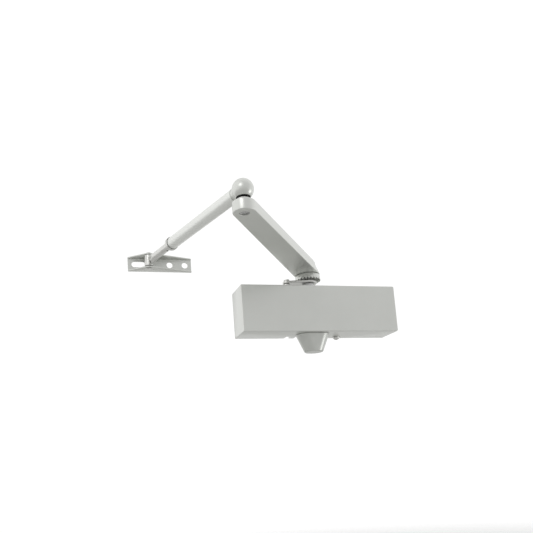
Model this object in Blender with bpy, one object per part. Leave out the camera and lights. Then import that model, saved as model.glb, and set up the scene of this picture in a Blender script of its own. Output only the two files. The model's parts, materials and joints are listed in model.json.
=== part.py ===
"""Surface-mounted door closer with a rack and pinion inside and a two-piece arm on top.

The frame: X runs along the door, Y goes into the door, Z is up. The origin is the middle of the
mounting plate's back face, where the closer meets the door. Lengths are in metres.
"""
import math

import bmesh
import bpy
from mathutils import Vector

MM = 0.001
GAP = 0.3 * MM              # between pieces that touch
RUN = 0.3 * MM              # round pieces that turn or slide in each other

# Cover: a sharp-edged box, open at the back.
COVER_LENGTH = 220 * MM
COVER_HEIGHT = 63 * MM
COVER_DEPTH = 44 * MM
COVER_WALL = 2 * MM
COVER_EDGE = 0.6 * MM
COVER_LIFT = 0.5 * MM       # the rim stays this far off the door
OPENING_ROOM = 1.5 * MM     # round the bearing nuts

# Mounting plate behind the body.
PLATE_THICKNESS = 2 * MM
PLATE_MARGIN = 1.2 * MM     # to the cover's inside
PLATE_HOLE_RADIUS = 2.6 * MM
PLATE_HOLE_INSET = 7 * MM   # from the plate's short edge
PLATE_HOLE_RISE = 18 * MM
PLATE_SCREW_RADIUS = 1.8 * MM
PLATE_SCREW_HEAD = 3.5 * MM
PLATE_SCREW_DEPTH = 10 * MM
PLATE_SCREW_CONE = 0.8      # its height as a share of the plate's thickness
PLATE_SCREW_INSET = 16 * MM  # from the body's ends
PLATE_SCREW_WALL = 5 * MM   # from the body's top and bottom faces

# Body: a cast block with the long cylinder bore and the cross bore for the pinion.
BODY_END_ROOM = 20 * MM     # to the cover's inside, for the plugs and the door's screws
BODY_SLACK_FRONT = 0.5 * MM
BODY_SLACK_TOP = 2.5 * MM
BODY_EDGE = 1.5 * MM
BORE_RADIUS = 16 * MM
PINION_OFFSET = -7 * MM     # from the middle of the cover

# Pinion and rack.
TOOTH_MODULE = 1.5 * MM
TOOTH_COUNT = 10
TOOTH_SLOPE = math.radians(20)
TOOTH_PLAY = 0.5 * MM
GEAR_ADDENDUM = 1.3 * MM
GEAR_DEDENDUM = 1.7 * MM
RACK_ADDENDUM = 0.85 * MM
RACK_DEDENDUM = 1.7 * MM
JOURNAL_RADIUS = 8 * MM
SQUARE_SIDE = 9.6 * MM
SPINDLE_BELOW = 13 * MM     # below the cover
SWING_OPEN = math.radians(115)
SWING_SHUT = math.radians(45)

# Bearings, nuts and shaft seals, the same above and below.
BEARING_WALL = 2.7 * MM
BEARING_HEIGHT = 4.5 * MM
BEARING_SHOULDER = 1 * MM
SEAL_HEIGHT = 3.5 * MM
SEAL_WALL = 1.4 * MM

# Piston.
WINDOW_SLACK = 0.8 * MM
PISTON_HEAD = 28 * MM
PISTON_TAIL = 10 * MM
PISTON_CUP_WALL = 2.4 * MM   # under the ring's groove
PISTON_CUP_DEPTH = 12 * MM
RING_WIDTH = 3 * MM
RING_WALL = 2 * MM
RING_INSET = 4 * MM
CHECK_BALL_RADIUS = 2.2 * MM
CHECK_SCREW_RADIUS = 2.8 * MM
CHECK_SCREW_LENGTH = 4 * MM
CHECK_PORT_RADIUS = 1.5 * MM

# Spring and its seat, end plugs and the screw that sets the spring.
WIRE_RADIUS = 1.8 * MM
COIL_ROOM = 2.2 * MM        # between the coils and the bore
COIL_TURNS = 8
SEAT_THICKNESS = 4 * MM
SEAT_PILOT = 4 * MM
PLUG_DEPTH = 14 * MM
PLUG_FLANGE = 2.5 * MM
PLUG_FLANGE_LIP = 1.5 * MM
PLUG_HEX_RADIUS = 9.5 * MM
PLUG_HEX_HEIGHT = 3.5 * MM
ORING_RADIUS = 1.2 * MM
ORING_PLACE = 0.4           # share of the plug's depth
POWER_SCREW_RADIUS = 4 * MM
POWER_SCREW_SOCKET = 2.3 * MM
POWER_SOCKET_DEPTH = 5 * MM

# Speed valves and the cover's screw, on a line near the back of the underside.
SERVICE_LINE = 8 * MM       # from the door
VALVE_OFFSETS = {"closing_speed_valve": -16 * MM, "latching_speed_valve": -30 * MM}
VALVE_RADIUS = 2.6 * MM
VALVE_LENGTH = 9.5 * MM
VALVE_NEEDLE_RADIUS = 1.2 * MM
VALVE_NEEDLE_LENGTH = 4 * MM
VALVE_NEEDLE_TIP = 0.4      # share of the needle's radius
VALVE_SLOT = 1 * MM         # width and depth
VALVE_HEAD_OUT = 1.5 * MM
NOTCH_WIDTH = 7 * MM
COVER_SCREW_OFFSET = 41 * MM
COVER_SCREW_RADIUS = 2 * MM
COVER_SCREW_HEAD = 4.7 * MM
COVER_SCREW_DOME = 3.8 * MM
COVER_SCREW_GRIP = 9 * MM
DOME_TURNS = (12, 30, 48, 66, 84)    # degrees from the dome's middle
CROSS_REACH = 2.4 * MM
CROSS_HALF_WIDTH = 0.5 * MM
CROSS_DEPTH = 1.5 * MM

# Cap over the spindle's lower end: oblong at the cover, nearly round at its foot.
CAP_HEIGHT = 23.5 * MM
CAP_TOP_LENGTH = 46 * MM
CAP_TOP_WIDTH = 30 * MM
CAP_FOOT_LENGTH = 25 * MM
CAP_FOOT_WIDTH = 22 * MM
CAP_WALL = 2 * MM
CAP_CHAMFER = 1 * MM

# Hold-open plate and its knob, between the cover and the hub.
LEVER_LIFT = 8 * MM         # above the cover
LEVER_THICKNESS = 3 * MM
LEVER_REACH = 31 * MM
LEVER_EYE_RADIUS = 12 * MM
LEVER_END_RADIUS = 5.5 * MM
KNOB_RADIUS = 4.2 * MM
KNOB_SHANK = 2.2 * MM
KNOB_HEAD = 3 * MM
KNOB_FACE = 0.8             # share of the knob's radius and height left by its round edge
KNOB_LOWER_SIDE = 0.7       # share of the lower head's height that is straight
KNOB_UPPER_SIDE = 0.5

# Hub with its serrated crown.
HUB_RADIUS = 17.2 * MM
HUB_TOP_RADIUS = 16.6 * MM
HUB_HEIGHT = 8.5 * MM
CROWN_TEETH = 24
CROWN_DEPTH = 2.6 * MM
CROWN_WALL = 4.5 * MM

# Main arm.
ARM_LENGTH = 240 * MM
ARM_ANGLE = math.radians(-127.2)
ARM_HUB_RADIUS = 17 * MM
ARM_ELBOW_RADIUS = 12.3 * MM
ARM_THICKNESS = 12 * MM
ARM_EDGE = 0.7 * MM
ARM_WASHER_RADIUS = 9 * MM
ARM_WASHER_THICKNESS = 1.5 * MM
ARM_SCREW_HEAD = 7.5 * MM
ARM_SCREW_HEIGHT = 3 * MM
ARM_SCREW_RADIUS = 3 * MM
ARM_SCREW_DEPTH = 14 * MM
ARM_SCREW_CHAMFER = 1 * MM
ARM_SOCKET_RADIUS = 3 * MM
ARM_SOCKET_DEPTH = 2 * MM

# Elbow: a ball stud riveted in the arm and the socket that turns on it.
BALL_RUN = 0.4 * MM
BALL_FLAT = 0.25            # half angle of the flat on the ball, in radians
SOCKET_FLAT = 0.15          # the same on the socket
BALL_NECK_RADIUS = 4 * MM
RIVET_RADIUS = 5 * MM
RIVET_SINK = 1 * MM
STUD_COLLAR_RADIUS = 6.4 * MM
STUD_COLLAR_HEIGHT = 1.5 * MM
DUST_WASHER_THICKNESS = 0.9 * MM
DUST_WASHER_RADIUS = 7.2 * MM
SOCKET_RADIUS = 11.5 * MM
SOCKET_WALL = 2 * MM
SOCKET_MOUTH_RADIUS = 7.6 * MM
SOCKET_RIM = 0.66 * MM
SOCKET_ROOM = 2 * MM        # between the loose washer and the black ring
CUP_WALL = 1.3 * MM
SEAL_RING_HOLE = 5.7 * MM
SEAL_RING_HEIGHT = 2.8 * MM
SEAL_RING_OUT = 1 * MM

# Forearm.
FOREARM_LENGTH = 230.3 * MM
FOREARM_ANGLE = math.radians(107.2)
TUBE_RADIUS = 7.5 * MM
TUBE_WALL = 1.7 * MM
TUBE_END = 162 * MM
NECK_LENGTH = 2.5 * MM
NECK_STEP = 0.9 * MM
NECK_SINK = 0.7             # share of the socket's radius where the neck starts
SPIGOT_LENGTH = 11 * MM
COLLAR_WALL = 0.6 * MM
COLLAR_LAP = 2 * MM
COLLAR_END = 3 * MM
ROD_RADIUS = 4 * MM
ROD_IN_TUBE = 62 * MM
ROD_IN_KNUCKLE = 20 * MM
SHANK_WALL = 0.7 * MM
TOMMY_HOLE_RADIUS = 1.4 * MM
TOMMY_HOLE_OFFSET = 9 * MM
FORGE_LENGTH = 3            # shank radii over which the knuckle deepens

# Shoe and its pivot.
SHOE_LENGTH = 87 * MM
SHOE_HEIGHT = 20 * MM
SHOE_SHEET = 2 * MM
SHOE_PIVOT_INSET = 26.6 * MM
SHOE_PIVOT_TO_WEB = 14.2 * MM
SHOE_PEAK_RADIUS = 5.5 * MM
SHOE_END_DEPTH = 1.2 * MM
SHOE_HOLE_RADIUS = 4.2 * MM
SHOE_HOLES = (57 * MM, 78 * MM)
SHOE_SLOT = (5 * MM, 24 * MM)
SHOE_SLOT_RADIUS = 4 * MM
PIN_RADIUS = 2.5 * MM
PIN_HEAD_RADIUS = 4.4 * MM
PIN_HEAD_HEIGHT = 1 * MM
PIN_HEAD_SIDE = 0.5 * MM
PIN_HEAD_FACE = 0.7         # share of the head's radius that is flat
BARREL_RADIUS = 5.8 * MM

ROUND = 32                  # sides of a large round piece
BALL_ROUND = 24             # sides of the elbow's round pieces and the tube
SMALL_ROUND = 16            # sides of a small piece
COIL_SIDES = 12             # steps in a turn of the spring
TOMMY_ROUND = 12
ORING_SIDES = 6
FLANK_STEPS = 3             # of a tooth's curve
BALL_STEPS = 8              # from a ball's neck to its top
PEAK_STEPS = 6              # of the arc at the shoe's peak
LINK_STEPS = 11             # of a bar's round end
OBLONG_STEPS = 9            # of the cap's round ends

# Places that follow from the sizes.
PITCH_RADIUS = TOOTH_MODULE * TOOTH_COUNT / 2
PLATE_FRONT = -PLATE_THICKNESS
BODY_BACK = PLATE_FRONT - GAP
BODY_FRONT = -(COVER_DEPTH - COVER_WALL - BODY_SLACK_FRONT)
BODY_MIDDLE = (BODY_BACK + BODY_FRONT) / 2
COVER_TOP = COVER_HEIGHT / 2
BODY_TOP = COVER_TOP - COVER_WALL - BODY_SLACK_TOP
BODY_END = COVER_LENGTH / 2 - COVER_WALL - BODY_END_ROOM
PLATE_SCREW_X = BODY_END - PLATE_SCREW_INSET
PINION_X = PINION_OFFSET
PINION_Y = BODY_MIDDLE
LEVER_BOTTOM = COVER_TOP + LEVER_LIFT
HUB_BOTTOM = LEVER_BOTTOM + LEVER_THICKNESS + GAP
ARM_BOTTOM = HUB_BOTTOM + HUB_HEIGHT + GAP
ARM_TOP = ARM_BOTTOM + ARM_THICKNESS
BALL_RADIUS = SOCKET_RADIUS - SOCKET_WALL - GAP - CUP_WALL - BALL_RUN
SOCKET_MOUTH_DROP = math.sqrt(SOCKET_RADIUS ** 2 - (SOCKET_MOUTH_RADIUS + SOCKET_RIM) ** 2)
SEAL_RING_RADIUS = SOCKET_MOUTH_RADIUS - GAP
CUP_MOUTH_DROP = SOCKET_MOUTH_DROP + SEAL_RING_OUT - SEAL_RING_HEIGHT - 3 * GAP
ELBOW_STACK = STUD_COLLAR_HEIGHT + DUST_WASHER_THICKNESS + 2 * GAP + SOCKET_ROOM
BALL_Z = ARM_TOP + ELBOW_STACK + SEAL_RING_OUT + SOCKET_MOUTH_DROP
OPEN_TRAVEL = PITCH_RADIUS * SWING_OPEN
SHUT_TRAVEL = PITCH_RADIUS * SWING_SHUT
GEAR_TIP = PITCH_RADIUS + GEAR_ADDENDUM
BEARING_RADIUS = JOURNAL_RADIUS + RUN + BEARING_WALL
SPINDLE_WIDEST = max(GEAR_TIP, JOURNAL_RADIUS)
COIL_RADIUS = BORE_RADIUS - COIL_ROOM - WIRE_RADIUS
PLUG_FLANGE_RADIUS = BORE_RADIUS + PLUG_FLANGE_LIP
WINDOW_LEFT = -(OPEN_TRAVEL + GEAR_TIP + WINDOW_SLACK)
WINDOW_RIGHT = SHUT_TRAVEL + GEAR_TIP + WINDOW_SLACK
PISTON_LEFT = WINDOW_LEFT - PISTON_HEAD
PISTON_RIGHT = WINDOW_RIGHT + PISTON_TAIL
PISTON_RADIUS = BORE_RADIUS - RUN
PISTON_GROOVE = PISTON_RADIUS - RING_WALL - GAP
PISTON_CUP_RADIUS = PISTON_GROOVE - PISTON_CUP_WALL
PLUG_INNER = BODY_END - PLUG_DEPTH
TUBE_BORE = TUBE_RADIUS - TUBE_WALL
TUBE_START = SOCKET_RADIUS + NECK_LENGTH
NECK_RADIUS = TUBE_RADIUS - NECK_STEP
SHANK_RADIUS = ROD_RADIUS + RUN + SHANK_WALL
RACK_TIP = PITCH_RADIUS - RACK_ADDENDUM
GEAR_HALF = math.sqrt(PISTON_RADIUS ** 2 - RACK_TIP ** 2) + RUN    # past the rack's ends

for old in list(bpy.data.objects):
    bpy.data.objects.remove(old, do_unlink=True)


# ---- Materials -------------------------------------------------------------------------------
def finish(name, colour, roughness, metallic):
    """A Principled material of one colour."""
    made = bpy.data.materials.new(name)
    made.use_nodes = True
    shader = made.node_tree.nodes["Principled BSDF"]
    shader.inputs["Base Color"].default_value = (*colour, 1)
    shader.inputs["Roughness"].default_value = roughness
    shader.inputs["Metallic"].default_value = metallic
    return made


SILVER = finish("silver_paint", (0.56, 0.57, 0.55), 0.38, 0.6)
CAP_SILVER = finish("silver_plastic", (0.55, 0.56, 0.54), 0.45, 0.3)
CAST = finish("cast_aluminium", (0.62, 0.62, 0.63), 0.5, 0.9)
ZINC = finish("zinc_plated_steel", (0.66, 0.66, 0.64), 0.3, 0.95)
STEEL = finish("machined_steel", (0.55, 0.55, 0.56), 0.25, 1.0)
SPRING_STEEL = finish("spring_steel", (0.2, 0.2, 0.21), 0.4, 0.9)
RUBBER = finish("black_rubber", (0.02, 0.02, 0.02), 0.7, 0.0)
POLYMER = finish("white_polymer", (0.75, 0.74, 0.7), 0.5, 0.0)


# ---- Shapes ----------------------------------------------------------------------------------
def add_object(name, mesh_data, look, parent=None, place=(0, 0, 0), smooth=True):
    """Put a finished mesh in the scene under its parent, in its parent's frame."""
    mesh = bpy.data.meshes.new(name)
    bmesh.ops.recalc_face_normals(mesh_data, faces=mesh_data.faces)
    mesh_data.to_mesh(mesh)
    mesh_data.free()
    if smooth:
        mesh.shade_smooth()
        mesh.set_sharp_from_angle(angle=math.radians(35))
    made = bpy.data.objects.new(name, mesh)
    if look:
        made.data.materials.append(look)
    made.parent = parent
    made.location = place
    bpy.context.collection.objects.link(made)
    return made


def axis_empty(name, parent, place, turn=0.0):
    """An empty on a joint's axis, turned about Z."""
    made = bpy.data.objects.new(name, None)
    made.parent = parent
    made.location = place
    made.rotation_euler = (0, 0, turn)
    bpy.context.collection.objects.link(made)
    return made


def along(axis, across, up, height):
    """A point given across and along an axis: Z, X or Y is the axis of height."""
    if axis == "Z":
        return Vector((across, up, height))
    if axis == "X":
        return Vector((height, across, up))
    return Vector((across, height, up))


def loft(rings, closed=False):
    """Join rings of points in order; the ends are capped, or the last ring meets the first."""
    body = bmesh.new()
    loops = [[body.verts.new(point) for point in ring] for ring in rings]
    count = len(loops[0])
    pairs = list(zip(loops, loops[1:]))
    if closed:
        pairs.append((loops[-1], loops[0]))
    for first, second in pairs:
        for i in range(count):
            j = (i + 1) % count
            body.faces.new((first[i], first[j], second[j], second[i]))
    if not closed:
        body.faces.new(loops[0])
        body.faces.new(loops[-1])
    return body


def circle(radius, height, sides, axis="Z"):
    """Points round an axis."""
    turns = [2 * math.pi * (i + 0.5) / sides for i in range(sides)]
    return [along(axis, radius * math.cos(t), radius * math.sin(t), height) for t in turns]


def turned(profile, sides=SMALL_ROUND, axis="Z", ring=False):
    """A turned piece from (radius, height) steps; a ring's profile goes right round its wall."""
    return loft([circle(radius, height, sides, axis) for radius, height in profile], ring)


def prism(outline, low, high, axis="Z"):
    """An outline of (across, up) points made thick along an axis."""
    return loft([[along(axis, u, v, end) for u, v in outline] for end in (low, high)])


def rectangle(x0, x1, y0, y1):
    """Corners of a rectangle."""
    return [(x0, y0), (x1, y0), (x1, y1), (x0, y1)]


def hexagon(radius):
    """Corners of a hexagon."""
    return [(radius * math.cos(i * math.pi / 3), radius * math.sin(i * math.pi / 3)) for i in range(6)]


def link_outline(first_radius, second_radius, distance):
    """A bar with round ends and straight tapered sides, from the origin along +X."""
    tilt = math.acos((first_radius - second_radius) / distance)
    points = []
    for i in range(LINK_STEPS + 1):
        turn = tilt + (2 * math.pi - 2 * tilt) * i / LINK_STEPS
        points.append((first_radius * math.cos(turn), first_radius * math.sin(turn)))
    for i in range(LINK_STEPS + 1):
        turn = -tilt + 2 * tilt * i / LINK_STEPS
        points.append((distance + second_radius * math.cos(turn), second_radius * math.sin(turn)))
    return points


def oblong(length, width, height):
    """Points of an oblong with round ends, at a height."""
    straight = (length - width) / 2
    points = []
    for end in (1, -1):
        for i in range(OBLONG_STEPS):
            turn = math.pi * ((i + 0.5) / OBLONG_STEPS - 0.5)
            points.append(Vector((end * (straight + width / 2 * math.cos(turn)),
                                  end * width / 2 * math.sin(turn), height)))
    return points


def shape(target, tool, how):
    """Cut, or join, a hidden tool solid into a piece; the tool sits in the piece's own frame."""
    tool.parent = target.parent
    tool.hide_render = True
    tool.display_type = "WIRE"
    step = target.modifiers.new(how.lower(), "BOOLEAN")
    step.operation = how
    step.object = tool


def cut(target, mesh_data, place=(0, 0, 0)):
    """Take a shape out of a piece."""
    tool = add_object(target.name + "_cutter", mesh_data, None, None, place, smooth=False)
    shape(target, tool, "DIFFERENCE")


def join(target, mesh_data, place=(0, 0, 0)):
    """Add a shape to a piece as one body."""
    tool = add_object(target.name + "_joined", mesh_data, None, None, place, smooth=False)
    shape(target, tool, "UNION")


def bevel(target, width, segments=1):
    """Round a piece's edges."""
    step = target.modifiers.new("edges", "BEVEL")
    step.width = width
    step.segments = segments
    step.limit_method = "ANGLE"


# ---- Cover and mounting plate ----------------------------------------------------------------
def make_cover():
    """Box shell, open at the back, with the spindle's openings, valve notches and a screw hole."""
    half = COVER_LENGTH / 2
    cover = add_object("cover", prism(rectangle(-half, half, -COVER_TOP, COVER_TOP),
                                      -COVER_DEPTH, -COVER_LIFT, "Y"), SILVER, smooth=False)
    bevel(cover, COVER_EDGE)
    inner = COVER_TOP - COVER_WALL
    inside = rectangle(-half + COVER_WALL, half - COVER_WALL, -inner, inner)
    cut(cover, prism(inside, -COVER_DEPTH + COVER_WALL, COVER_WALL, "Y"))
    through = COVER_TOP + COVER_WALL
    opening = BEARING_RADIUS + OPENING_ROOM
    cut(cover, turned([(opening, -through), (opening, through)], ROUND), (PINION_X, PINION_Y, 0))
    for offset in VALVE_OFFSETS.values():
        side = rectangle(offset - NOTCH_WIDTH / 2, offset + NOTCH_WIDTH / 2,
                         -SERVICE_LINE - NOTCH_WIDTH / 2, COVER_WALL)
        cut(cover, prism(side, -through, -COVER_TOP + 1.5 * COVER_WALL), (PINION_X, 0, 0))
    hole = COVER_SCREW_RADIUS + GAP
    cut(cover, turned([(hole, -through), (hole, -COVER_TOP + 2 * COVER_WALL)]),
        (PINION_X + COVER_SCREW_OFFSET, -SERVICE_LINE, 0))


def make_plate():
    """Steel plate with four holes for the door's screws and four for the screws that hold the body."""
    half = COVER_LENGTH / 2 - COVER_WALL - PLATE_MARGIN
    rise = COVER_TOP - COVER_WALL - PLATE_MARGIN
    plate = add_object("mounting_plate", prism(rectangle(-half, half, -rise, rise),
                                               PLATE_FRONT, 0, "Y"), ZINC, smooth=False)
    screw_rise = BODY_TOP - PLATE_SCREW_WALL
    number = 0
    for side in (-1, 1):
        for level in (-1, 1):
            number += 1
            hole = turned([(PLATE_HOLE_RADIUS, -2 * PLATE_THICKNESS), (PLATE_HOLE_RADIUS, PLATE_THICKNESS)],
                          SMALL_ROUND, "Y")
            cut(plate, hole, (side * (half - PLATE_HOLE_INSET), 0, level * PLATE_HOLE_RISE))
            make_plate_screw(plate, number, (side * PLATE_SCREW_X, 0, level * screw_rise))


def make_plate_screw(plate, number, place):
    """Countersunk screw, flush with the plate's back, and its seat in the plate."""
    neck = PLATE_THICKNESS * PLATE_SCREW_CONE
    screw = [(PLATE_SCREW_HEAD, -GAP), (PLATE_SCREW_RADIUS, -GAP - neck),
             (PLATE_SCREW_RADIUS, -PLATE_SCREW_DEPTH)]
    add_object(f"plate_screw_{number}", turned(screw, SMALL_ROUND, "Y"), ZINC, None, place)
    seat = [(PLATE_SCREW_HEAD + 3 * GAP, GAP), (PLATE_SCREW_RADIUS + 2 * GAP, -GAP - neck),
            (PLATE_SCREW_RADIUS + 2 * GAP, -2 * PLATE_THICKNESS)]
    cut(plate, turned(seat, SMALL_ROUND, "Y"), place)


# ---- Body ------------------------------------------------------------------------------------
def make_body():
    """Cast block: cylinder bore along X, stepped cross bore, valve bores and screw holes."""
    side = rectangle(-BODY_END, BODY_END, -BODY_TOP, BODY_TOP)
    body = add_object("closer_body", prism(side, BODY_FRONT, BODY_BACK, "Y"), CAST, smooth=False)
    bevel(body, BODY_EDGE)
    end = BODY_END + PLUG_FLANGE
    cut(body, turned([(BORE_RADIUS, -end), (BORE_RADIUS, end)], ROUND, "X"), (0, PINION_Y, 0))
    seat = BEARING_RADIUS + GAP
    floor = BORE_RADIUS + BEARING_SHOULDER
    pinion_way = SPINDLE_WIDEST + 2 * RUN
    steps = [(seat, -COVER_TOP), (seat, -floor), (pinion_way, -floor),
             (pinion_way, floor), (seat, floor), (seat, COVER_TOP)]
    cut(body, turned(steps, ROUND), (PINION_X, PINION_Y, 0))
    for offset in VALVE_OFFSETS.values():
        top = -BODY_TOP - VALVE_HEAD_OUT + VALVE_LENGTH + GAP
        bore = [(VALVE_RADIUS + RUN, -COVER_TOP), (VALVE_RADIUS + RUN, top),
                (VALVE_NEEDLE_RADIUS + RUN, top), (VALVE_NEEDLE_RADIUS + RUN, top + VALVE_NEEDLE_LENGTH)]
        cut(body, turned(bore), (PINION_X + offset, -SERVICE_LINE, 0))
    hole = COVER_SCREW_RADIUS + GAP
    cut(body, turned([(hole, -COVER_TOP), (hole, -BODY_TOP + COVER_SCREW_GRIP)]),
        (PINION_X + COVER_SCREW_OFFSET, -SERVICE_LINE, 0))
    hole = PLATE_SCREW_RADIUS + GAP
    for x in (-PLATE_SCREW_X, PLATE_SCREW_X):
        for z in (-BODY_TOP + PLATE_SCREW_WALL, BODY_TOP - PLATE_SCREW_WALL):
            cut(body, turned([(hole, -PLATE_SCREW_DEPTH - GAP), (hole, 0)], SMALL_ROUND, "Y"), (x, 0, z))


def make_plug(name, side):
    """End plug: threaded part with an O-ring groove, a flange on the body and a hexagon."""
    radius = BORE_RADIUS - GAP
    groove = BORE_RADIUS - GAP - 2 * ORING_RADIUS - GAP
    ring = PLUG_INNER + PLUG_DEPTH * ORING_PLACE
    flange = BODY_END + GAP
    steps = [(radius, PLUG_INNER), (radius, ring - ORING_RADIUS - GAP), (groove, ring - ORING_RADIUS - GAP),
             (groove, ring + ORING_RADIUS + GAP), (radius, ring + ORING_RADIUS + GAP), (radius, flange),
             (PLUG_FLANGE_RADIUS, flange), (PLUG_FLANGE_RADIUS, flange + PLUG_FLANGE)]
    steps = [(r, side * x) for r, x in steps]
    place = (0, PINION_Y, 0)
    plug = add_object(name, turned(steps, ROUND, "X"), ZINC, None, place)
    face = flange + PLUG_FLANGE
    join(plug, prism(hexagon(PLUG_HEX_RADIUS), side * (face - PLUG_FLANGE / 2),
                     side * (face + PLUG_HEX_HEIGHT), "X"), place)
    middle = BORE_RADIUS - GAP - ORING_RADIUS
    tube = []
    for i in range(ORING_SIDES):
        turn = 2 * math.pi * i / ORING_SIDES
        tube.append((middle + ORING_RADIUS * math.cos(turn), side * ring + ORING_RADIUS * math.sin(turn)))
    add_object(name + "_o_ring", turned(tube, ROUND, "X", ring=True), RUBBER, None, place)
    return plug


def make_plugs():
    """Both plugs; the spring's one carries the screw that sets the closing power."""
    make_plug("damping_end_plug", -1)
    plug = make_plug("spring_end_plug", 1)
    outer = BODY_END + GAP + PLUG_FLANGE + PLUG_HEX_HEIGHT
    hole = POWER_SCREW_RADIUS + RUN
    cut(plug, turned([(hole, PLUG_INNER - PLUG_FLANGE), (hole, outer + PLUG_FLANGE)], SMALL_ROUND, "X"),
        (0, PINION_Y, 0))
    screw = turned([(POWER_SCREW_RADIUS, PLUG_INNER - GAP), (POWER_SCREW_RADIUS, outer)], SMALL_ROUND, "X")
    power = add_object("power_screw", screw, STEEL, None, (0, PINION_Y, 0))
    socket = prism(hexagon(POWER_SCREW_SOCKET), outer - POWER_SOCKET_DEPTH, outer + PLUG_FLANGE, "X")
    cut(power, socket, (0, PINION_Y, 0))


def make_valves():
    """Two screws that throttle the oil: a slotted head and a needle."""
    for name, offset in VALVE_OFFSETS.items():
        low = -BODY_TOP - VALVE_HEAD_OUT
        top = low + VALVE_LENGTH
        steps = [(VALVE_RADIUS, low), (VALVE_RADIUS, top), (VALVE_NEEDLE_RADIUS, top),
                 (VALVE_NEEDLE_RADIUS * VALVE_NEEDLE_TIP, top + VALVE_NEEDLE_LENGTH - GAP)]
        place = (PINION_X + offset, -SERVICE_LINE, 0)
        valve = add_object(name, turned(steps), STEEL, None, place)
        slot = rectangle(-2 * VALVE_RADIUS, 2 * VALVE_RADIUS, -VALVE_SLOT / 2, VALVE_SLOT / 2)
        cut(valve, prism(slot, low - VALVE_SLOT, low + VALVE_SLOT), place)


def make_cover_screw():
    """Domed screw that holds the cover on the body."""
    seat = -COVER_TOP - GAP
    head = [(COVER_SCREW_HEAD * math.sin(t), seat - COVER_SCREW_DOME * math.cos(t))
            for t in (math.radians(d) for d in DOME_TURNS)]
    steps = head + [(COVER_SCREW_HEAD, seat), (COVER_SCREW_RADIUS, seat),
                    (COVER_SCREW_RADIUS, -BODY_TOP + COVER_SCREW_GRIP - GAP)]
    place = (PINION_X + COVER_SCREW_OFFSET, -SERVICE_LINE, 0)
    screw = add_object("cover_screw", turned(steps), ZINC, None, place)
    low = seat - COVER_SCREW_DOME
    for half_x, half_y in ((CROSS_REACH, CROSS_HALF_WIDTH), (CROSS_HALF_WIDTH, CROSS_REACH)):
        slot = rectangle(-half_x, half_x, -half_y, half_y)
        cut(screw, prism(slot, low - MM, low + CROSS_DEPTH), place)


# ---- Drive -----------------------------------------------------------------------------------
def gear_outline():
    """Involute teeth, one of them pointing at the rack (-Y)."""
    base = PITCH_RADIUS * math.cos(TOOTH_SLOPE)
    half_angle = (math.pi * TOOTH_MODULE / 2 - TOOTH_PLAY / 2) / 2 / PITCH_RADIUS
    spread = math.tan(TOOTH_SLOPE) - TOOTH_SLOPE
    root = PITCH_RADIUS - GEAR_DEDENDUM
    flank = [(root, half_angle + spread)]
    for i in range(FLANK_STEPS + 1):
        radius = base + (GEAR_TIP - base) * i / FLANK_STEPS
        slope = math.acos(min(1.0, base / radius))
        flank.append((radius, half_angle + spread - (math.tan(slope) - slope)))
    points = []
    for tooth in range(TOOTH_COUNT):
        middle = -math.pi / 2 + 2 * math.pi * tooth / TOOTH_COUNT
        sides = [(r, middle - a) for r, a in flank] + [(r, middle + a) for r, a in reversed(flank)]
        points += [(r * math.cos(a), r * math.sin(a)) for r, a in sides]
    return points


def make_pinion(parent):
    """Spindle: teeth in the middle, round journals, and a square at each end."""
    half = GEAR_HALF
    pinion = add_object("pinion", prism(gear_outline(), -half, half), STEEL, parent)
    shoulder = LEVER_BOTTOM - GAP
    for low, high in ((-COVER_TOP, -half + GAP), (half - GAP, shoulder)):
        join(pinion, turned([(JOURNAL_RADIUS, low), (JOURNAL_RADIUS, high)]))
    side = SQUARE_SIDE / 2
    square = rectangle(-side, side, -side, side)
    join(pinion, prism(square, -COVER_TOP - SPINDLE_BELOW, -COVER_TOP + MM))
    join(pinion, prism(square, shoulder - MM, ARM_TOP - GAP))
    hole = ARM_SCREW_RADIUS + GAP
    cut(pinion, turned([(hole, ARM_TOP - ARM_SCREW_DEPTH - GAP), (hole, ARM_TOP + MM)]))


def make_spindle_bearing(name, side):
    """Bearing, its threaded nut and the shaft seal in the nut, above or below the bore."""
    place = (PINION_X, PINION_Y, 0)
    inner = JOURNAL_RADIUS + RUN
    floor = BORE_RADIUS + BEARING_SHOULDER + GAP
    bearing_end = floor + BEARING_HEIGHT
    nut_end = COVER_TOP - 2 * GAP
    pocket = SEAL_HEIGHT + 3 * GAP
    seal_out = inner + SEAL_WALL
    pieces = {
        "bearing": (STEEL, [(inner, floor), (BEARING_RADIUS, floor), (BEARING_RADIUS, bearing_end),
                            (inner, bearing_end)]),
        "bearing_nut": (ZINC, [(inner, bearing_end + GAP), (BEARING_RADIUS, bearing_end + GAP),
                               (BEARING_RADIUS, nut_end), (seal_out + GAP, nut_end),
                               (seal_out + GAP, nut_end - pocket), (inner, nut_end - pocket)]),
        "shaft_seal": (RUBBER, [(inner, nut_end - pocket + GAP), (seal_out, nut_end - pocket + GAP),
                                (seal_out, nut_end - GAP), (inner, nut_end - GAP)]),
    }
    for piece, (look, steps) in pieces.items():
        steps = [(r, side * z) for r, z in steps]
        add_object(f"{name}_{piece}", turned(steps, ROUND, "Z", ring=True), look, None, place)


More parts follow.
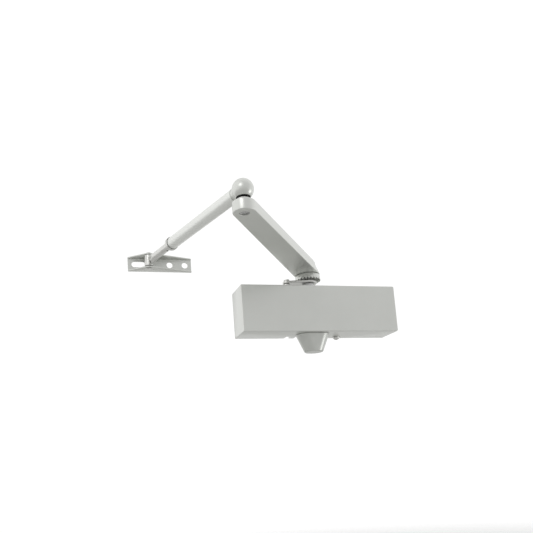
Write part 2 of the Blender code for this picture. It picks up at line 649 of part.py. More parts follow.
def rack_window():
    """Outline of the piston's window: rack teeth along its front, plain elsewhere."""
    pitch = math.pi * TOOTH_MODULE
    tip = -RACK_TIP
    root = -PITCH_RADIUS - RACK_DEDENDUM
    half_pitch_width = pitch / 4 - TOOTH_PLAY / 4
    half_tip = half_pitch_width - RACK_ADDENDUM * math.tan(TOOTH_SLOPE)
    half_root = half_pitch_width + RACK_DEDENDUM * math.tan(TOOTH_SLOPE)
    points = [(WINDOW_LEFT, root)]
    first = math.ceil((WINDOW_LEFT + half_root) / pitch - 0.5)
    last = math.floor((WINDOW_RIGHT - half_root) / pitch - 0.5)
    for k in range(first, last + 1):
        middle = (k + 0.5) * pitch
        points += [(middle - half_root, root), (middle - half_tip, tip),
                   (middle + half_tip, tip), (middle + half_root, root)]
    back = SPINDLE_WIDEST + WINDOW_SLACK
    points += [(WINDOW_RIGHT, root), (WINDOW_RIGHT, back), (WINDOW_LEFT, back)]
    return points


def make_piston():
    """Piston with its rack window, sealing ring, and the check valve in its head."""
    place = (PINION_X, PINION_Y, 0)
    ring = PISTON_LEFT + RING_INSET
    groove = PISTON_GROOVE
    steps = [(PISTON_RADIUS, PISTON_LEFT), (PISTON_RADIUS, ring), (groove, ring),
             (groove, ring + RING_WIDTH + 2 * GAP), (PISTON_RADIUS, ring + RING_WIDTH + 2 * GAP),
             (PISTON_RADIUS, PISTON_RIGHT)]
    piston = add_object("piston", turned(steps, ROUND, "X"), STEEL, None, place)
    cut(piston, prism(rack_window(), -BORE_RADIUS, BORE_RADIUS), place)
    cup = PISTON_LEFT + PISTON_CUP_DEPTH
    valve_end = cup + CHECK_SCREW_LENGTH + 2 * CHECK_BALL_RADIUS + 3 * GAP
    bore = CHECK_SCREW_RADIUS + GAP
    bores = [(PISTON_CUP_RADIUS, PISTON_LEFT - MM), (PISTON_CUP_RADIUS, cup), (bore, cup), (bore, valve_end),
             (CHECK_PORT_RADIUS, valve_end), (CHECK_PORT_RADIUS, WINDOW_LEFT + MM)]
    cut(piston, turned(bores, SMALL_ROUND, "X"), place)
    wall = [(PISTON_RADIUS - RING_WALL, ring + GAP), (PISTON_RADIUS, ring + GAP),
            (PISTON_RADIUS, ring + GAP + RING_WIDTH), (PISTON_RADIUS - RING_WALL, ring + GAP + RING_WIDTH)]
    add_object("piston_ring", turned(wall, ROUND, "X", ring=True), POLYMER, None, place)
    screw_end = cup + CHECK_SCREW_LENGTH
    screw = [(CHECK_SCREW_RADIUS, cup), (CHECK_SCREW_RADIUS, screw_end), (CHECK_PORT_RADIUS, screw_end),
             (CHECK_PORT_RADIUS, cup)]
    add_object("check_valve_screw", turned(screw, SMALL_ROUND, "X", ring=True), ZINC, None, place)
    ball = bmesh.new()
    bmesh.ops.create_icosphere(ball, subdivisions=2, radius=CHECK_BALL_RADIUS)
    middle = screw_end + GAP + CHECK_BALL_RADIUS
    add_object("check_valve_ball", ball, STEEL, None, (PINION_X + middle, PINION_Y, 0))


def make_spring():
    """Closing spring between the piston and its seat on the power screw."""
    start = PINION_X + PISTON_RIGHT + GAP
    seat_face = PLUG_INNER - 2 * GAP - SEAT_THICKNESS
    seat = [(COIL_RADIUS - WIRE_RADIUS - 2 * GAP, seat_face - SEAT_PILOT),
            (COIL_RADIUS - WIRE_RADIUS - 2 * GAP, seat_face), (BORE_RADIUS - 2 * RUN, seat_face),
            (BORE_RADIUS - 2 * RUN, seat_face + SEAT_THICKNESS)]
    add_object("spring_seat", turned(seat, ROUND, "X"), ZINC, None, (0, PINION_Y, 0))
    first = start + WIRE_RADIUS
    length = seat_face - GAP - WIRE_RADIUS - first
    curve = bpy.data.curves.new("closing_spring", "CURVE")
    curve.dimensions = "3D"
    curve.bevel_depth = WIRE_RADIUS
    curve.bevel_resolution = 1
    curve.use_fill_caps = True
    wire = curve.splines.new("POLY")
    steps = COIL_TURNS * COIL_SIDES
    wire.points.add(steps)
    for i in range(steps + 1):
        turn = 2 * math.pi * COIL_TURNS * i / steps
        place = (first + length * i / steps, COIL_RADIUS * math.cos(turn), COIL_RADIUS * math.sin(turn))
        wire.points[i].co = (*place, 1)
    curve.materials.append(SPRING_STEEL)
    spring = bpy.data.objects.new("closing_spring", curve)
    spring.location = (0, PINION_Y, 0)
    bpy.context.collection.objects.link(spring)


def make_cap():
    """Tapered cap over the lower spindle end, hollow and open at the cover."""
    top = -COVER_TOP - GAP
    foot = top - CAP_HEIGHT
    wall = 2 * CAP_WALL
    rings = [oblong(CAP_FOOT_LENGTH - wall, CAP_FOOT_WIDTH - wall, foot + CAP_WALL),
             oblong(CAP_TOP_LENGTH - wall, CAP_TOP_WIDTH - wall, top),
             oblong(CAP_TOP_LENGTH, CAP_TOP_WIDTH, top),
             oblong(CAP_FOOT_LENGTH, CAP_FOOT_WIDTH, foot + CAP_CHAMFER),
             oblong(CAP_FOOT_LENGTH - 2 * CAP_CHAMFER, CAP_FOOT_WIDTH - 2 * CAP_CHAMFER, foot)]
    add_object("pinion_cap", loft(rings), CAP_SILVER, None, (PINION_X, PINION_Y, 0))


# ---- Hold-open plate, hub and main arm -------------------------------------------------------
def make_hold_open(parent):
    """Flat lever plate under the hub, and the knob at its end."""
    low = LEVER_BOTTOM
    high = LEVER_BOTTOM + LEVER_THICKNESS
    outline = link_outline(LEVER_EYE_RADIUS, LEVER_END_RADIUS, LEVER_REACH)
    outline = [(-x, -y) for x, y in outline]
    plate = add_object("hold_open_plate", prism(outline, low, high), ZINC, parent, smooth=False)
    clear = SQUARE_SIDE / 2 * math.sqrt(2) + RUN
    cut(plate, turned([(clear, low - MM), (clear, high + MM)]))
    hole = KNOB_SHANK + RUN
    cut(plate, turned([(hole, low - MM), (hole, high + MM)]), (-LEVER_REACH, 0, 0))
    face = KNOB_RADIUS * KNOB_FACE
    low -= GAP
    high += GAP
    steps = [(face, low - KNOB_HEAD), (KNOB_RADIUS, low - KNOB_HEAD * KNOB_LOWER_SIDE), (KNOB_RADIUS, low),
             (KNOB_SHANK, low), (KNOB_SHANK, high), (KNOB_RADIUS, high),
             (KNOB_RADIUS, high + KNOB_HEAD * KNOB_UPPER_SIDE), (face, high + KNOB_HEAD * KNOB_FACE)]
    knob_axis = axis_empty("knob_axis", parent, (-LEVER_REACH, 0, 0))
    add_object("hold_open_knob", turned(steps), ZINC, knob_axis)


def make_hub(parent):
    """Ring under the arm whose lower edge is a crown of pointed teeth."""
    sides = 2 * CROWN_TEETH
    bore = SQUARE_SIDE / 2 * math.sqrt(2) + RUN

    def ring(radius, height, toothed=False):
        points = circle(radius, height, sides)
        for i, point in enumerate(points):
            if toothed and i % 2:
                point.z += CROWN_DEPTH
        return points

    top = HUB_BOTTOM + HUB_HEIGHT
    crown = HUB_RADIUS - CROWN_WALL
    rings = [ring(HUB_TOP_RADIUS, top), ring(HUB_RADIUS, HUB_BOTTOM, True), ring(crown, HUB_BOTTOM, True),
             ring(bore, HUB_BOTTOM + CROWN_DEPTH), ring(bore, top)]
    add_object("arm_hub", loft(rings, closed=True), SILVER, parent, smooth=False)


def make_arm(parent):
    """Flat bar with round ends, its screw and washer on the spindle."""
    outline = link_outline(ARM_HUB_RADIUS, ARM_ELBOW_RADIUS, ARM_LENGTH)
    arm = add_object("main_arm", prism(outline, ARM_BOTTOM, ARM_TOP), SILVER, parent)
    bevel(arm, ARM_EDGE)
    half = SQUARE_SIDE / 2 + GAP
    below = ARM_BOTTOM - MM
    above = ARM_TOP + MM
    square = [Vector(corner) for corner in rectangle(-half, half, -half, half)]
    turn = -ARM_ANGLE
    square = [(p.x * math.cos(turn) - p.y * math.sin(turn), p.x * math.sin(turn) + p.y * math.cos(turn))
              for p in square]
    cut(arm, prism(square, below, above))
    hole = RIVET_RADIUS + GAP
    cut(arm, turned([(hole, below), (hole, above)]), (ARM_LENGTH, 0, 0))
    washer_low = ARM_TOP + GAP
    washer_high = washer_low + ARM_WASHER_THICKNESS
    inner = ARM_SCREW_RADIUS + GAP
    washer = [(inner, washer_low), (ARM_WASHER_RADIUS, washer_low), (ARM_WASHER_RADIUS, washer_high),
              (inner, washer_high)]
    add_object("arm_washer", turned(washer, SMALL_ROUND, "Z", ring=True), ZINC, parent)
    low = washer_high + GAP
    high = low + ARM_SCREW_HEIGHT
    screw = [(ARM_SCREW_RADIUS, ARM_TOP - ARM_SCREW_DEPTH), (ARM_SCREW_RADIUS, low), (ARM_SCREW_HEAD, low),
             (ARM_SCREW_HEAD, high - ARM_SCREW_CHAMFER), (ARM_SCREW_HEAD - ARM_SCREW_CHAMFER, high)]
    head = add_object("arm_screw", turned(screw), ZINC, parent)
    cut(head, prism(hexagon(ARM_SOCKET_RADIUS), high - ARM_SOCKET_DEPTH, high + MM))


def make_stud(parent):
    """Ball stud: riveted shank, collar on the arm, neck and ball; a loose washer on the collar."""
    collar = ARM_TOP + GAP
    neck = collar + STUD_COLLAR_HEIGHT
    start = math.asin(BALL_NECK_RADIUS / BALL_RADIUS)
    steps = [(RIVET_RADIUS, ARM_BOTTOM + RIVET_SINK), (RIVET_RADIUS, collar), (STUD_COLLAR_RADIUS, collar),
             (STUD_COLLAR_RADIUS, neck), (BALL_NECK_RADIUS, neck)]
    for i in range(BALL_STEPS + 1):
        turn = start + (math.pi - BALL_FLAT - start) * i / BALL_STEPS
        steps.append((BALL_RADIUS * math.sin(turn), BALL_Z - BALL_RADIUS * math.cos(turn)))
    place = (ARM_LENGTH, 0, 0)
    add_object("elbow_stud", turned(steps), STEEL, parent, place)
    low = neck + GAP
    high = low + DUST_WASHER_THICKNESS
    inner = BALL_NECK_RADIUS + RUN
    washer = [(inner, low), (DUST_WASHER_RADIUS, low), (DUST_WASHER_RADIUS, high), (inner, high)]
    add_object("elbow_washer", turned(washer, SMALL_ROUND, "Z", ring=True), ZINC, parent, place)


# ---- Elbow socket and forearm, in the forearm's frame: +X from the elbow to the shoe ---------
def ball_steps(radius, start_height):
    """Sphere from a height below its middle up to near its top, as (radius, height) steps."""
    start = math.acos(-start_height / radius)
    turns = [start + (math.pi - SOCKET_FLAT - start) * i / BALL_STEPS for i in range(BALL_STEPS + 1)]
    return [(radius * math.sin(t), -radius * math.cos(t)) for t in turns]


def make_socket(parent):
    """Round socket with a neck for the tube, its bearing cup and the black ring in its mouth."""
    ball = ball_steps(SOCKET_RADIUS, -SOCKET_MOUTH_DROP)
    socket = add_object("elbow_socket", turned(ball, BALL_ROUND), SILVER, parent)
    spigot = TUBE_BORE - GAP
    neck_end = TUBE_START - GAP
    neck = [(NECK_RADIUS, SOCKET_RADIUS * NECK_SINK), (NECK_RADIUS, neck_end), (spigot, neck_end),
            (spigot, neck_end + SPIGOT_LENGTH)]
    join(socket, turned(neck, SMALL_ROUND, "X"))
    hollow = SOCKET_RADIUS - SOCKET_WALL
    mouth = SOCKET_MOUTH_RADIUS
    cavity = [(mouth, -SOCKET_RADIUS)] + ball_steps(hollow, -math.sqrt(hollow ** 2 - mouth ** 2))
    cut(socket, turned(cavity, BALL_ROUND))
    outer = ball_steps(hollow - GAP, -CUP_MOUTH_DROP)
    inner = ball_steps(hollow - GAP - CUP_WALL, -CUP_MOUTH_DROP)
    cup = list(reversed(inner)) + outer
    add_object("elbow_cup", turned(cup), POLYMER, parent)
    low = -SOCKET_MOUTH_DROP - SEAL_RING_OUT
    high = low + SEAL_RING_HEIGHT
    seal = [(SEAL_RING_HOLE, low), (SEAL_RING_RADIUS, low), (SEAL_RING_RADIUS, high), (SEAL_RING_HOLE, high)]
    add_object("elbow_seal_ring", turned(seal, BALL_ROUND, "Z", ring=True), RUBBER, parent)


def make_tube(parent):
    """Forearm tube with the collar that closes its far end, and the threaded rod in it."""
    wall = [(TUBE_BORE, TUBE_START), (TUBE_RADIUS, TUBE_START), (TUBE_RADIUS, TUBE_END),
            (TUBE_BORE, TUBE_END)]
    add_object("forearm_tube", turned(wall, BALL_ROUND, "X", ring=True), SILVER, parent)
    inner = TUBE_RADIUS + GAP
    outer = inner + COLLAR_WALL
    face = TUBE_END + GAP
    end = face + COLLAR_END
    hole = ROD_RADIUS + RUN
    collar = [(inner, TUBE_END - COLLAR_LAP), (outer, TUBE_END - COLLAR_LAP), (outer, end - COLLAR_WALL),
              (outer - COLLAR_WALL, end), (hole, end), (hole, face), (inner, face)]
    add_object("tube_collar", turned(collar, BALL_ROUND, "X", ring=True), ZINC, parent)
    rod_start = TUBE_END - ROD_IN_TUBE
    shank_start = end + GAP
    rod = [(ROD_RADIUS, rod_start), (ROD_RADIUS, shank_start + ROD_IN_KNUCKLE)]
    add_object("forearm_rod", turned(rod, SMALL_ROUND, "X"), STEEL, parent)
    make_knuckle(parent, shank_start)


def make_knuckle(parent, shank_start):
    """Forged end: a round shank that deepens into the barrel on the shoe's pin."""
    half_gap = SHOE_HEIGHT / 2 - SHOE_SHEET
    half_height = half_gap - 2 * RUN
    barrel_start = FOREARM_LENGTH - BARREL_RADIUS
    forge_start = barrel_start - FORGE_LENGTH * SHANK_RADIUS
    sections = [(shank_start, SHANK_RADIUS, SHANK_RADIUS), (forge_start, SHANK_RADIUS, SHANK_RADIUS),
                (barrel_start, SHANK_RADIUS, half_height), (FOREARM_LENGTH, SHANK_RADIUS, half_height)]
    rings = []
    for x, half_width, half_tall in sections:
        ring = circle(1, 0, SMALL_ROUND, "X")
        rings.append([Vector((x, half_width * p.y, half_tall * p.z)) for p in ring])
    knuckle = add_object("knuckle", loft(rings), ZINC, parent)
    pivot = (FOREARM_LENGTH, 0, 0)
    join(knuckle, turned([(BARREL_RADIUS, -half_height), (BARREL_RADIUS, half_height)], BALL_ROUND), pivot)
    hole = PIN_RADIUS + RUN
    cut(knuckle, turned([(hole, -half_gap), (hole, half_gap)]), pivot)
    bore = ROD_RADIUS + RUN
    cut(knuckle, turned([(bore, shank_start - MM), (bore, shank_start + ROD_IN_KNUCKLE + GAP)],
                        SMALL_ROUND, "X"))
    tommy = turned([(TOMMY_HOLE_RADIUS, -2 * SHANK_RADIUS), (TOMMY_HOLE_RADIUS, -ROD_RADIUS)], TOMMY_ROUND)
    cut(knuckle, tommy, (shank_start + TOMMY_HOLE_OFFSET, 0, 0))


# ---- Shoe, in its own frame: the origin on the pivot, +Y towards the door frame --------------
def make_shoe(parent):
    """Bent steel shoe: a web with a slot and two holes, and two flanges that peak at the pivot."""
    half = SHOE_HEIGHT / 2
    inner = half - SHOE_SHEET
    front = -SHOE_PEAK_RADIUS
    web = SHOE_PIVOT_TO_WEB
    back = web + SHOE_SHEET
    section = [(front, -half), (back, -half), (back, half), (front, half),
               (front, inner), (web, inner), (web, -inner), (front, -inner)]
    left = -SHOE_PIVOT_INSET
    right = left + SHOE_LENGTH
    shoe = add_object("shoe", prism(section, left, right, "X"), SILVER, parent, smooth=False)
    for end in (left, right):
        cut(shoe, prism(corner_outline(end, web - SHOE_END_DEPTH, front), -2 * half, 2 * half))
    for x in SHOE_HOLES:
        cut(shoe, turned([(SHOE_HOLE_RADIUS, web - MM), (SHOE_HOLE_RADIUS, back + MM)], SMALL_ROUND, "Y"),
            (left + x, 0, 0))
    slot = [(left + SHOE_SLOT_RADIUS + SHOE_SLOT[0] + x, y) for x, y in
            link_outline(SHOE_SLOT_RADIUS, SHOE_SLOT_RADIUS,
                         SHOE_SLOT[1] - SHOE_SLOT[0] - 2 * SHOE_SLOT_RADIUS)]
    cut(shoe, prism(slot, web - MM, back + MM, "Y"))
    hole = PIN_RADIUS + GAP
    cut(shoe, turned([(hole, -2 * half), (hole, 2 * half)]))
    head = half + GAP
    top = head + PIN_HEAD_HEIGHT
    face = PIN_HEAD_RADIUS * PIN_HEAD_FACE
    steps = [(face, -top), (PIN_HEAD_RADIUS, -top + PIN_HEAD_SIDE), (PIN_HEAD_RADIUS, -head),
             (PIN_RADIUS, -head), (PIN_RADIUS, head), (PIN_HEAD_RADIUS, head),
             (PIN_HEAD_RADIUS, top - PIN_HEAD_SIDE), (face, top)]
    add_object("shoe_pin", turned(steps), ZINC, parent)


def corner_outline(end, shallow, front):
    """The corner taken off the flanges at one end: a tangent from the peak's arc to the end."""
    side = 1 if end > 0 else -1
    far = Vector((abs(end), shallow))
    reach = math.acos(SHOE_PEAK_RADIUS / far.length)
    start = math.atan2(far.y, far.x) - reach
    points = [(0, 2 * front), (0, front)]
    for i in range(1, PEAK_STEPS + 1):
        turn = -math.pi / 2 + (start + math.pi / 2) * i / PEAK_STEPS
        points.append((SHOE_PEAK_RADIUS * math.cos(turn), SHOE_PEAK_RADIUS * math.sin(turn)))
    points += [tuple(far), (far.x + SHOE_END_DEPTH, far.y), (far.x + SHOE_END_DEPTH, 2 * front)]
    return [(side * x, y) for x, y in points]


# ---- The whole closer ------------------------------------------------------------------------
make_cover()
make_plate()
make_body()
make_plugs()
make_valves()
make_cover_screw()
make_piston()
make_spring()
make_cap()
make_spindle_bearing("upper", 1)
make_spindle_bearing("lower", -1)

pinion_axis = axis_empty("pinion_axis", None, (PINION_X, PINION_Y, 0))
make_pinion(pinion_axis)
make_hold_open(pinion_axis)
make_hub(pinion_axis)
arm_axis = axis_empty("arm_axis", pinion_axis, (0, 0, 0), ARM_ANGLE)
make_arm(arm_axis)
make_stud(arm_axis)
elbow_axis = axis_empty("elbow_axis", arm_axis, (ARM_LENGTH, 0, BALL_Z), FOREARM_ANGLE - ARM_ANGLE)
make_socket(elbow_axis)
make_tube(elbow_axis)
shoe_axis = axis_empty("shoe_axis", elbow_axis, (FOREARM_LENGTH, 0, 0), -FOREARM_ANGLE)
make_shoe(shoe_axis)
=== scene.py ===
import json
import math

import bmesh
import bpy
import numpy as np
from mathutils import Euler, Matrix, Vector


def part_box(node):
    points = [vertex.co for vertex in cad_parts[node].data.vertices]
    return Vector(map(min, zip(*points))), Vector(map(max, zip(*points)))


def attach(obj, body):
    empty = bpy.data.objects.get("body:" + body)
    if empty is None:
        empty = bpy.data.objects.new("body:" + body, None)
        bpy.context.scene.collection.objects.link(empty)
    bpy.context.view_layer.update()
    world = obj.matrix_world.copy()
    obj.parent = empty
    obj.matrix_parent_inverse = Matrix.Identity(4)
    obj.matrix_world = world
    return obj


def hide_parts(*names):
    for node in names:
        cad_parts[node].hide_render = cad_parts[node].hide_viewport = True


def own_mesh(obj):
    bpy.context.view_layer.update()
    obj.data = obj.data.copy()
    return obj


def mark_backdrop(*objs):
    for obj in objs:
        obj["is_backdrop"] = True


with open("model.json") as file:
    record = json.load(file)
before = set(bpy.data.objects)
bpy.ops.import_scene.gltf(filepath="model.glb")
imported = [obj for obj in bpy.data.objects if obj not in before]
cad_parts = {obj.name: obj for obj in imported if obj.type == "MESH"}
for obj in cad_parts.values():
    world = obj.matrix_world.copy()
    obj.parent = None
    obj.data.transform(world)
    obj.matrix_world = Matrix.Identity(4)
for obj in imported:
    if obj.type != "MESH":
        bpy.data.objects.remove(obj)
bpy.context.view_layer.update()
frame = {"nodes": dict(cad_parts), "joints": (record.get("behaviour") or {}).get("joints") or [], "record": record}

MM = 0.001


# ---- Camera ----------------------------------------------------------------------------------
# A view from below the cover and from its left, tilted up by nine degrees and rolled a little. The
# frame is moved off the lens's middle, up and to the right.
camera = bpy.data.objects.new("camera", bpy.data.cameras.new("camera"))
bpy.context.scene.collection.objects.link(camera)
bpy.context.scene.camera = camera
camera.data.lens = 41.55
camera.data.sensor_width = 36
camera.data.shift_x = 0.08
camera.data.shift_y = 0.20
camera.location = (-0.3335, -0.7782, -0.2053)
CAMERA_YAW = math.radians(14.78)
CAMERA_PITCH = math.radians(9.02)
CAMERA_ROLL = math.radians(-3.62)
turn_to_view = Euler((math.pi / 2 + CAMERA_PITCH, 0, -CAMERA_YAW)).to_matrix()
camera.rotation_euler = (turn_to_view @ Euler((0, 0, CAMERA_ROLL)).to_matrix()).to_euler()
camera.data.clip_start = 0.01
camera.data.clip_end = 100


# ---- Studio ----------------------------------------------------------------------------------
# A white room, brightest at the left and dimmer behind the camera, with a round floor well below the
# closer that fades out towards its rim. Soft lamps at the upper left and the lower right give the
# round pieces their glints.
FLOOR_DEPTH = 0.75
FLOOR_RADIUS = 5.4
FLOOR_SIDES = 96
FLOOR_COLOUR = (0.57, 0.57, 0.56, 1)
FLOOR_FADE = 2.5                # from the middle, where it begins to fade out
ROOM_BRIGHT = 1.06
ROOM_DIM = 0.77
ROOM_LEFT = 1.12
ROOM_TURN_Y = (-0.9, 0.0)       # the view direction's y where the room is dimmest and brightest
ROOM_TURN_X = (-0.9, -0.2)      # its x where the left's extra light is full and none


def set_step(step, limits):
    """Give a Map Range node its two input limits and its two results."""
    for socket, limit in zip(("From Min", "From Max", "To Min", "To Max"), limits):
        step.inputs[socket].default_value = limit


def studio_floor():
    """A disc: point (r cos a, r sin a, floor height). Its alpha goes from one to nothing by a smooth
    step of the distance from the middle."""
    turns = np.linspace(0, 2 * math.pi, FLOOR_SIDES + 1)[:-1]
    rim = np.stack([np.cos(turns), np.sin(turns), 0 * turns], 1) * FLOOR_RADIUS
    rim[:, 2] = -FLOOR_DEPTH
    mesh = bpy.data.meshes.new("floor")
    mesh.from_pydata(rim.tolist(), [], [list(range(FLOOR_SIDES))])
    floor = bpy.data.objects.new("floor", mesh)
    bpy.context.scene.collection.objects.link(floor)
    look = bpy.data.materials.new("pale_floor")
    look.use_nodes = True
    tree = look.node_tree
    shader = tree.nodes["Principled BSDF"]
    shader.inputs["Roughness"].default_value = 0.9
    shader.inputs["Specular IOR Level"].default_value = 0.1
    shader.inputs["Base Color"].default_value = FLOOR_COLOUR
    length = tree.nodes.new("ShaderNodeVectorMath")
    length.operation = "LENGTH"
    tree.links.new(tree.nodes.new("ShaderNodeTexCoord").outputs["Object"], length.inputs[0])
    fade = tree.nodes.new("ShaderNodeMapRange")
    fade.interpolation_type = "SMOOTHSTEP"
    set_step(fade, (FLOOR_FADE, FLOOR_RADIUS, 1, 0))
    tree.links.new(length.outputs["Value"], fade.inputs["Value"])
    tree.links.new(fade.outputs["Result"], shader.inputs["Alpha"])
    mesh.materials.append(look)
    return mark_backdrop(floor)


def soft_lamp(name, place, aim, size, power):
    """A square area lamp that faces a point."""
    lamp = bpy.data.objects.new(name, bpy.data.lights.new(name, "AREA"))
    bpy.context.scene.collection.objects.link(lamp)
    lamp.data.shape = "SQUARE"
    lamp.data.size = size
    lamp.data.energy = power
    lamp.location = place
    lamp.rotation_euler = (Vector(aim) - Vector(place)).to_track_quat("-Z", "Y").to_euler()
    return lamp


def white_room():
    """A world whose strength is a smooth step of the direction's y times a smooth step of its x."""
    world = bpy.data.worlds.new("white_room")
    world.use_nodes = True
    tree = world.node_tree
    split = tree.nodes.new("ShaderNodeSeparateXYZ")
    tree.links.new(tree.nodes.new("ShaderNodeTexCoord").outputs["Generated"], split.inputs["Vector"])
    product = tree.nodes.new("ShaderNodeMath")
    product.operation = "MULTIPLY"
    for i, (axis, limits) in enumerate((("Y", (*ROOM_TURN_Y, ROOM_DIM, ROOM_BRIGHT)),
                                        ("X", (*ROOM_TURN_X, ROOM_LEFT, 1)))):
        step = tree.nodes.new("ShaderNodeMapRange")
        step.interpolation_type = "SMOOTHSTEP"
        set_step(step, limits)
        tree.links.new(split.outputs[axis], step.inputs["Value"])
        tree.links.new(step.outputs["Result"], product.inputs[i])
    tree.links.new(product.outputs["Value"], tree.nodes["Background"].inputs["Strength"])
    tree.nodes["Background"].inputs["Color"].default_value = (1, 1, 1, 1)
    return world


studio_floor()
soft_lamp("key_lamp", place=(-1.0, -1.3, 0.8), aim=(-0.1, -0.1, 0.05), size=0.6, power=2.5)
soft_lamp("right_lamp", place=(1.3, -0.6, -0.6), aim=(0, 0, 0), size=0.7, power=4)
bpy.context.scene.world = white_room()
bpy.context.scene.view_settings.view_transform = "Standard"


# ---- Cover -----------------------------------------------------------------------------------
# A box-shaped shell pressed over the closer's body and held by one screw from below. It is coated
# in satin silver paint. The spindle passes through it above and below; two notches show the valves.
GAP = 0.3 * MM                  # left between pieces that meet
POLE = 0.3 * MM                 # radius of the small flat at a turned piece's end
SHARP_ANGLE = 32                # degrees between faces from which an edge is drawn sharp
CORNER_SHARE = 0.45             # the most of a side that one rounded corner takes
LEAST_CORNER = 0.05 * MM
COVER_WALL = 2 * MM
COVER_EDGE = 1.1 * MM
COVER_RIM_ROUND = 0.3 * MM
COVER_CORNER = 1.6 * MM
SPINDLE_OPENING = 12.5 * MM
NOTCH_WIDTH = 7 * MM
SCREW_HOLE = 2.3 * MM
PAINT_COLOUR = (0.615, 0.625, 0.598)
GLOSS_DRIFT = 0.04

BODY_OF = {node: body for body, nodes in frame["record"]["behaviour"]["bodies"].items() for node in nodes}
JOINT = {joint["name"]: joint for joint in frame["joints"]}


def joint_place(name):
    """Where a hinge's axis passes, as an array."""
    return np.array(JOINT[name]["pos_m"], float)


def stand_for(piece, node):
    """The piece rides where the node rides and is shown in its place."""
    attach(piece, BODY_OF[node])
    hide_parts(node)
    return piece


def soften(corners, radius, steps=4):
    """Round each inner corner of a line of (a, b) points: the corner becomes a quadratic arc that
    starts and ends one radius from it, or a little less where the neighbours are near."""
    corners = [np.array(corner, float) for corner in corners]
    made = [corners[0]]
    for before, corner, after in zip(corners, corners[1:], corners[2:]):
        to_before, to_after = before - corner, after - corner
        reach = min(radius, CORNER_SHARE * np.linalg.norm(to_before), CORNER_SHARE * np.linalg.norm(to_after))
        start = corner + to_before / np.linalg.norm(to_before) * reach
        end = corner + to_after / np.linalg.norm(to_after) * reach
        for t in np.linspace(0, 1, steps + 1):
            made.append((1 - t) ** 2 * start + 2 * t * (1 - t) * corner + t ** 2 * end)
    made.append(corners[-1])
    return np.array(made)


def skin(name, rings, look, tube=False, sharp=SHARP_ANGLE):
    """Mesh over a grid of points (ring, point on the ring, xyz): quads join each ring to the next.
    A tube's last ring meets its first; otherwise the two end rings are closed flat."""
    rings = np.asarray(rings, float)
    count, sides = rings.shape[:2]
    along, around = np.meshgrid(np.arange(count if tube else count - 1), np.arange(sides), indexing="ij")
    after, beside = (along + 1) % count, (around + 1) % sides
    quads = np.stack([along * sides + around, along * sides + beside,
                      after * sides + beside, after * sides + around], -1).reshape(-1, 4)
    faces = quads.tolist()
    if not tube:
        faces.append(list(range(sides)))
        faces.append(list(range((count - 1) * sides, count * sides)))
    mesh = bpy.data.meshes.new(name)
    mesh.from_pydata(rings.reshape(-1, 3).tolist(), [], faces)
    return finish_piece(name, mesh, look, sharp)


def finish_piece(name, mesh, look, sharp=SHARP_ANGLE):
    """Turn the faces of a closed mesh outwards, shade it smooth but for its edges, and show it."""
    shaped = bmesh.new()
    shaped.from_mesh(mesh)
    bmesh.ops.remove_doubles(shaped, verts=shaped.verts, dist=0.001 * MM)
    bmesh.ops.recalc_face_normals(shaped, faces=shaped.faces)
    if shaped.calc_volume(signed=True) < 0:
        bmesh.ops.reverse_faces(shaped, faces=shaped.faces)
    shaped.to_mesh(mesh)
    shaped.free()
    mesh.shade_smooth()
    mesh.set_sharp_from_angle(angle=math.radians(sharp))
    if look:
        mesh.materials.append(look)
    piece = bpy.data.objects.new(name, mesh)
    bpy.context.scene.collection.objects.link(piece)
    return piece


def carve(piece, tools, how="DIFFERENCE"):
    """Cut closed tools out of a piece, or join them to it, and keep the result as its mesh."""
    for tool in tools:
        change = piece.modifiers.new("change", "BOOLEAN")
        change.operation = how
        change.solver = "EXACT"
        change.object = tool
        bpy.context.view_layer.update()
        shaped = piece.evaluated_get(bpy.context.evaluated_depsgraph_get())
        mesh = bpy.data.meshes.new_from_object(shaped)
        piece.modifiers.clear()
        old, piece.data = piece.data, mesh
        name = old.name
        bpy.data.meshes.remove(old)
        mesh.name = name
        bpy.data.objects.remove(tool)
    mesh.set_sharp_from_angle(angle=math.radians(SHARP_ANGLE))
    return piece


def frame_of(origin, toward, up=(0, 0, 1)):
    """A function that takes local points to the world: x runs toward, z runs up, from the origin."""
    x = np.array(toward, float) / np.linalg.norm(toward)
    z = np.array(up, float)
    axes = np.stack([x, np.cross(z, x), z])
    return lambda points: np.asarray(points) @ axes + np.asarray(origin)


def turned(profile, sides=48, axis="z"):
    """Rings of a body of revolution: (radius, height) steps carried round the z or x axis."""
    profile = np.asarray(profile, float)
    turns = np.linspace(0, 2 * math.pi, sides + 1)[:-1]
    radius, height = profile[:, :1], np.repeat(profile[:, 1:], sides, 1)
    a, b = radius * np.cos(turns), radius * np.sin(turns)
    return np.stack([a, b, height] if axis == "z" else [height, a, b], -1)


def carried(profile, outline, normals):
    """Rings of a profile carried round an outline: each (inset, height) step is the outline moved
    in along its normals by the inset, at that height."""
    profile = np.asarray(profile, float)
    flat = outline[None] - normals[None] * profile[:, :1, None]
    height = np.repeat(profile[:, 1:], len(outline), 1)[..., None]
    return np.concatenate([flat, height], -1)


def rounded_box_outline(half_x, half_y, corner, steps=6):
    """Outline of a rectangle with round corners, and its outward normals: four quarter arcs."""
    quarter = np.linspace(0, math.pi / 2, steps)
    turns = (quarter[None] + np.arange(4)[:, None] * math.pi / 2).reshape(-1)
    normals = np.stack([np.cos(turns), np.sin(turns)], 1)
    centres = np.repeat([(1, 1), (-1, 1), (-1, -1), (1, -1)], steps, 0) * (half_x - corner, half_y - corner)
    return centres + normals * corner, normals


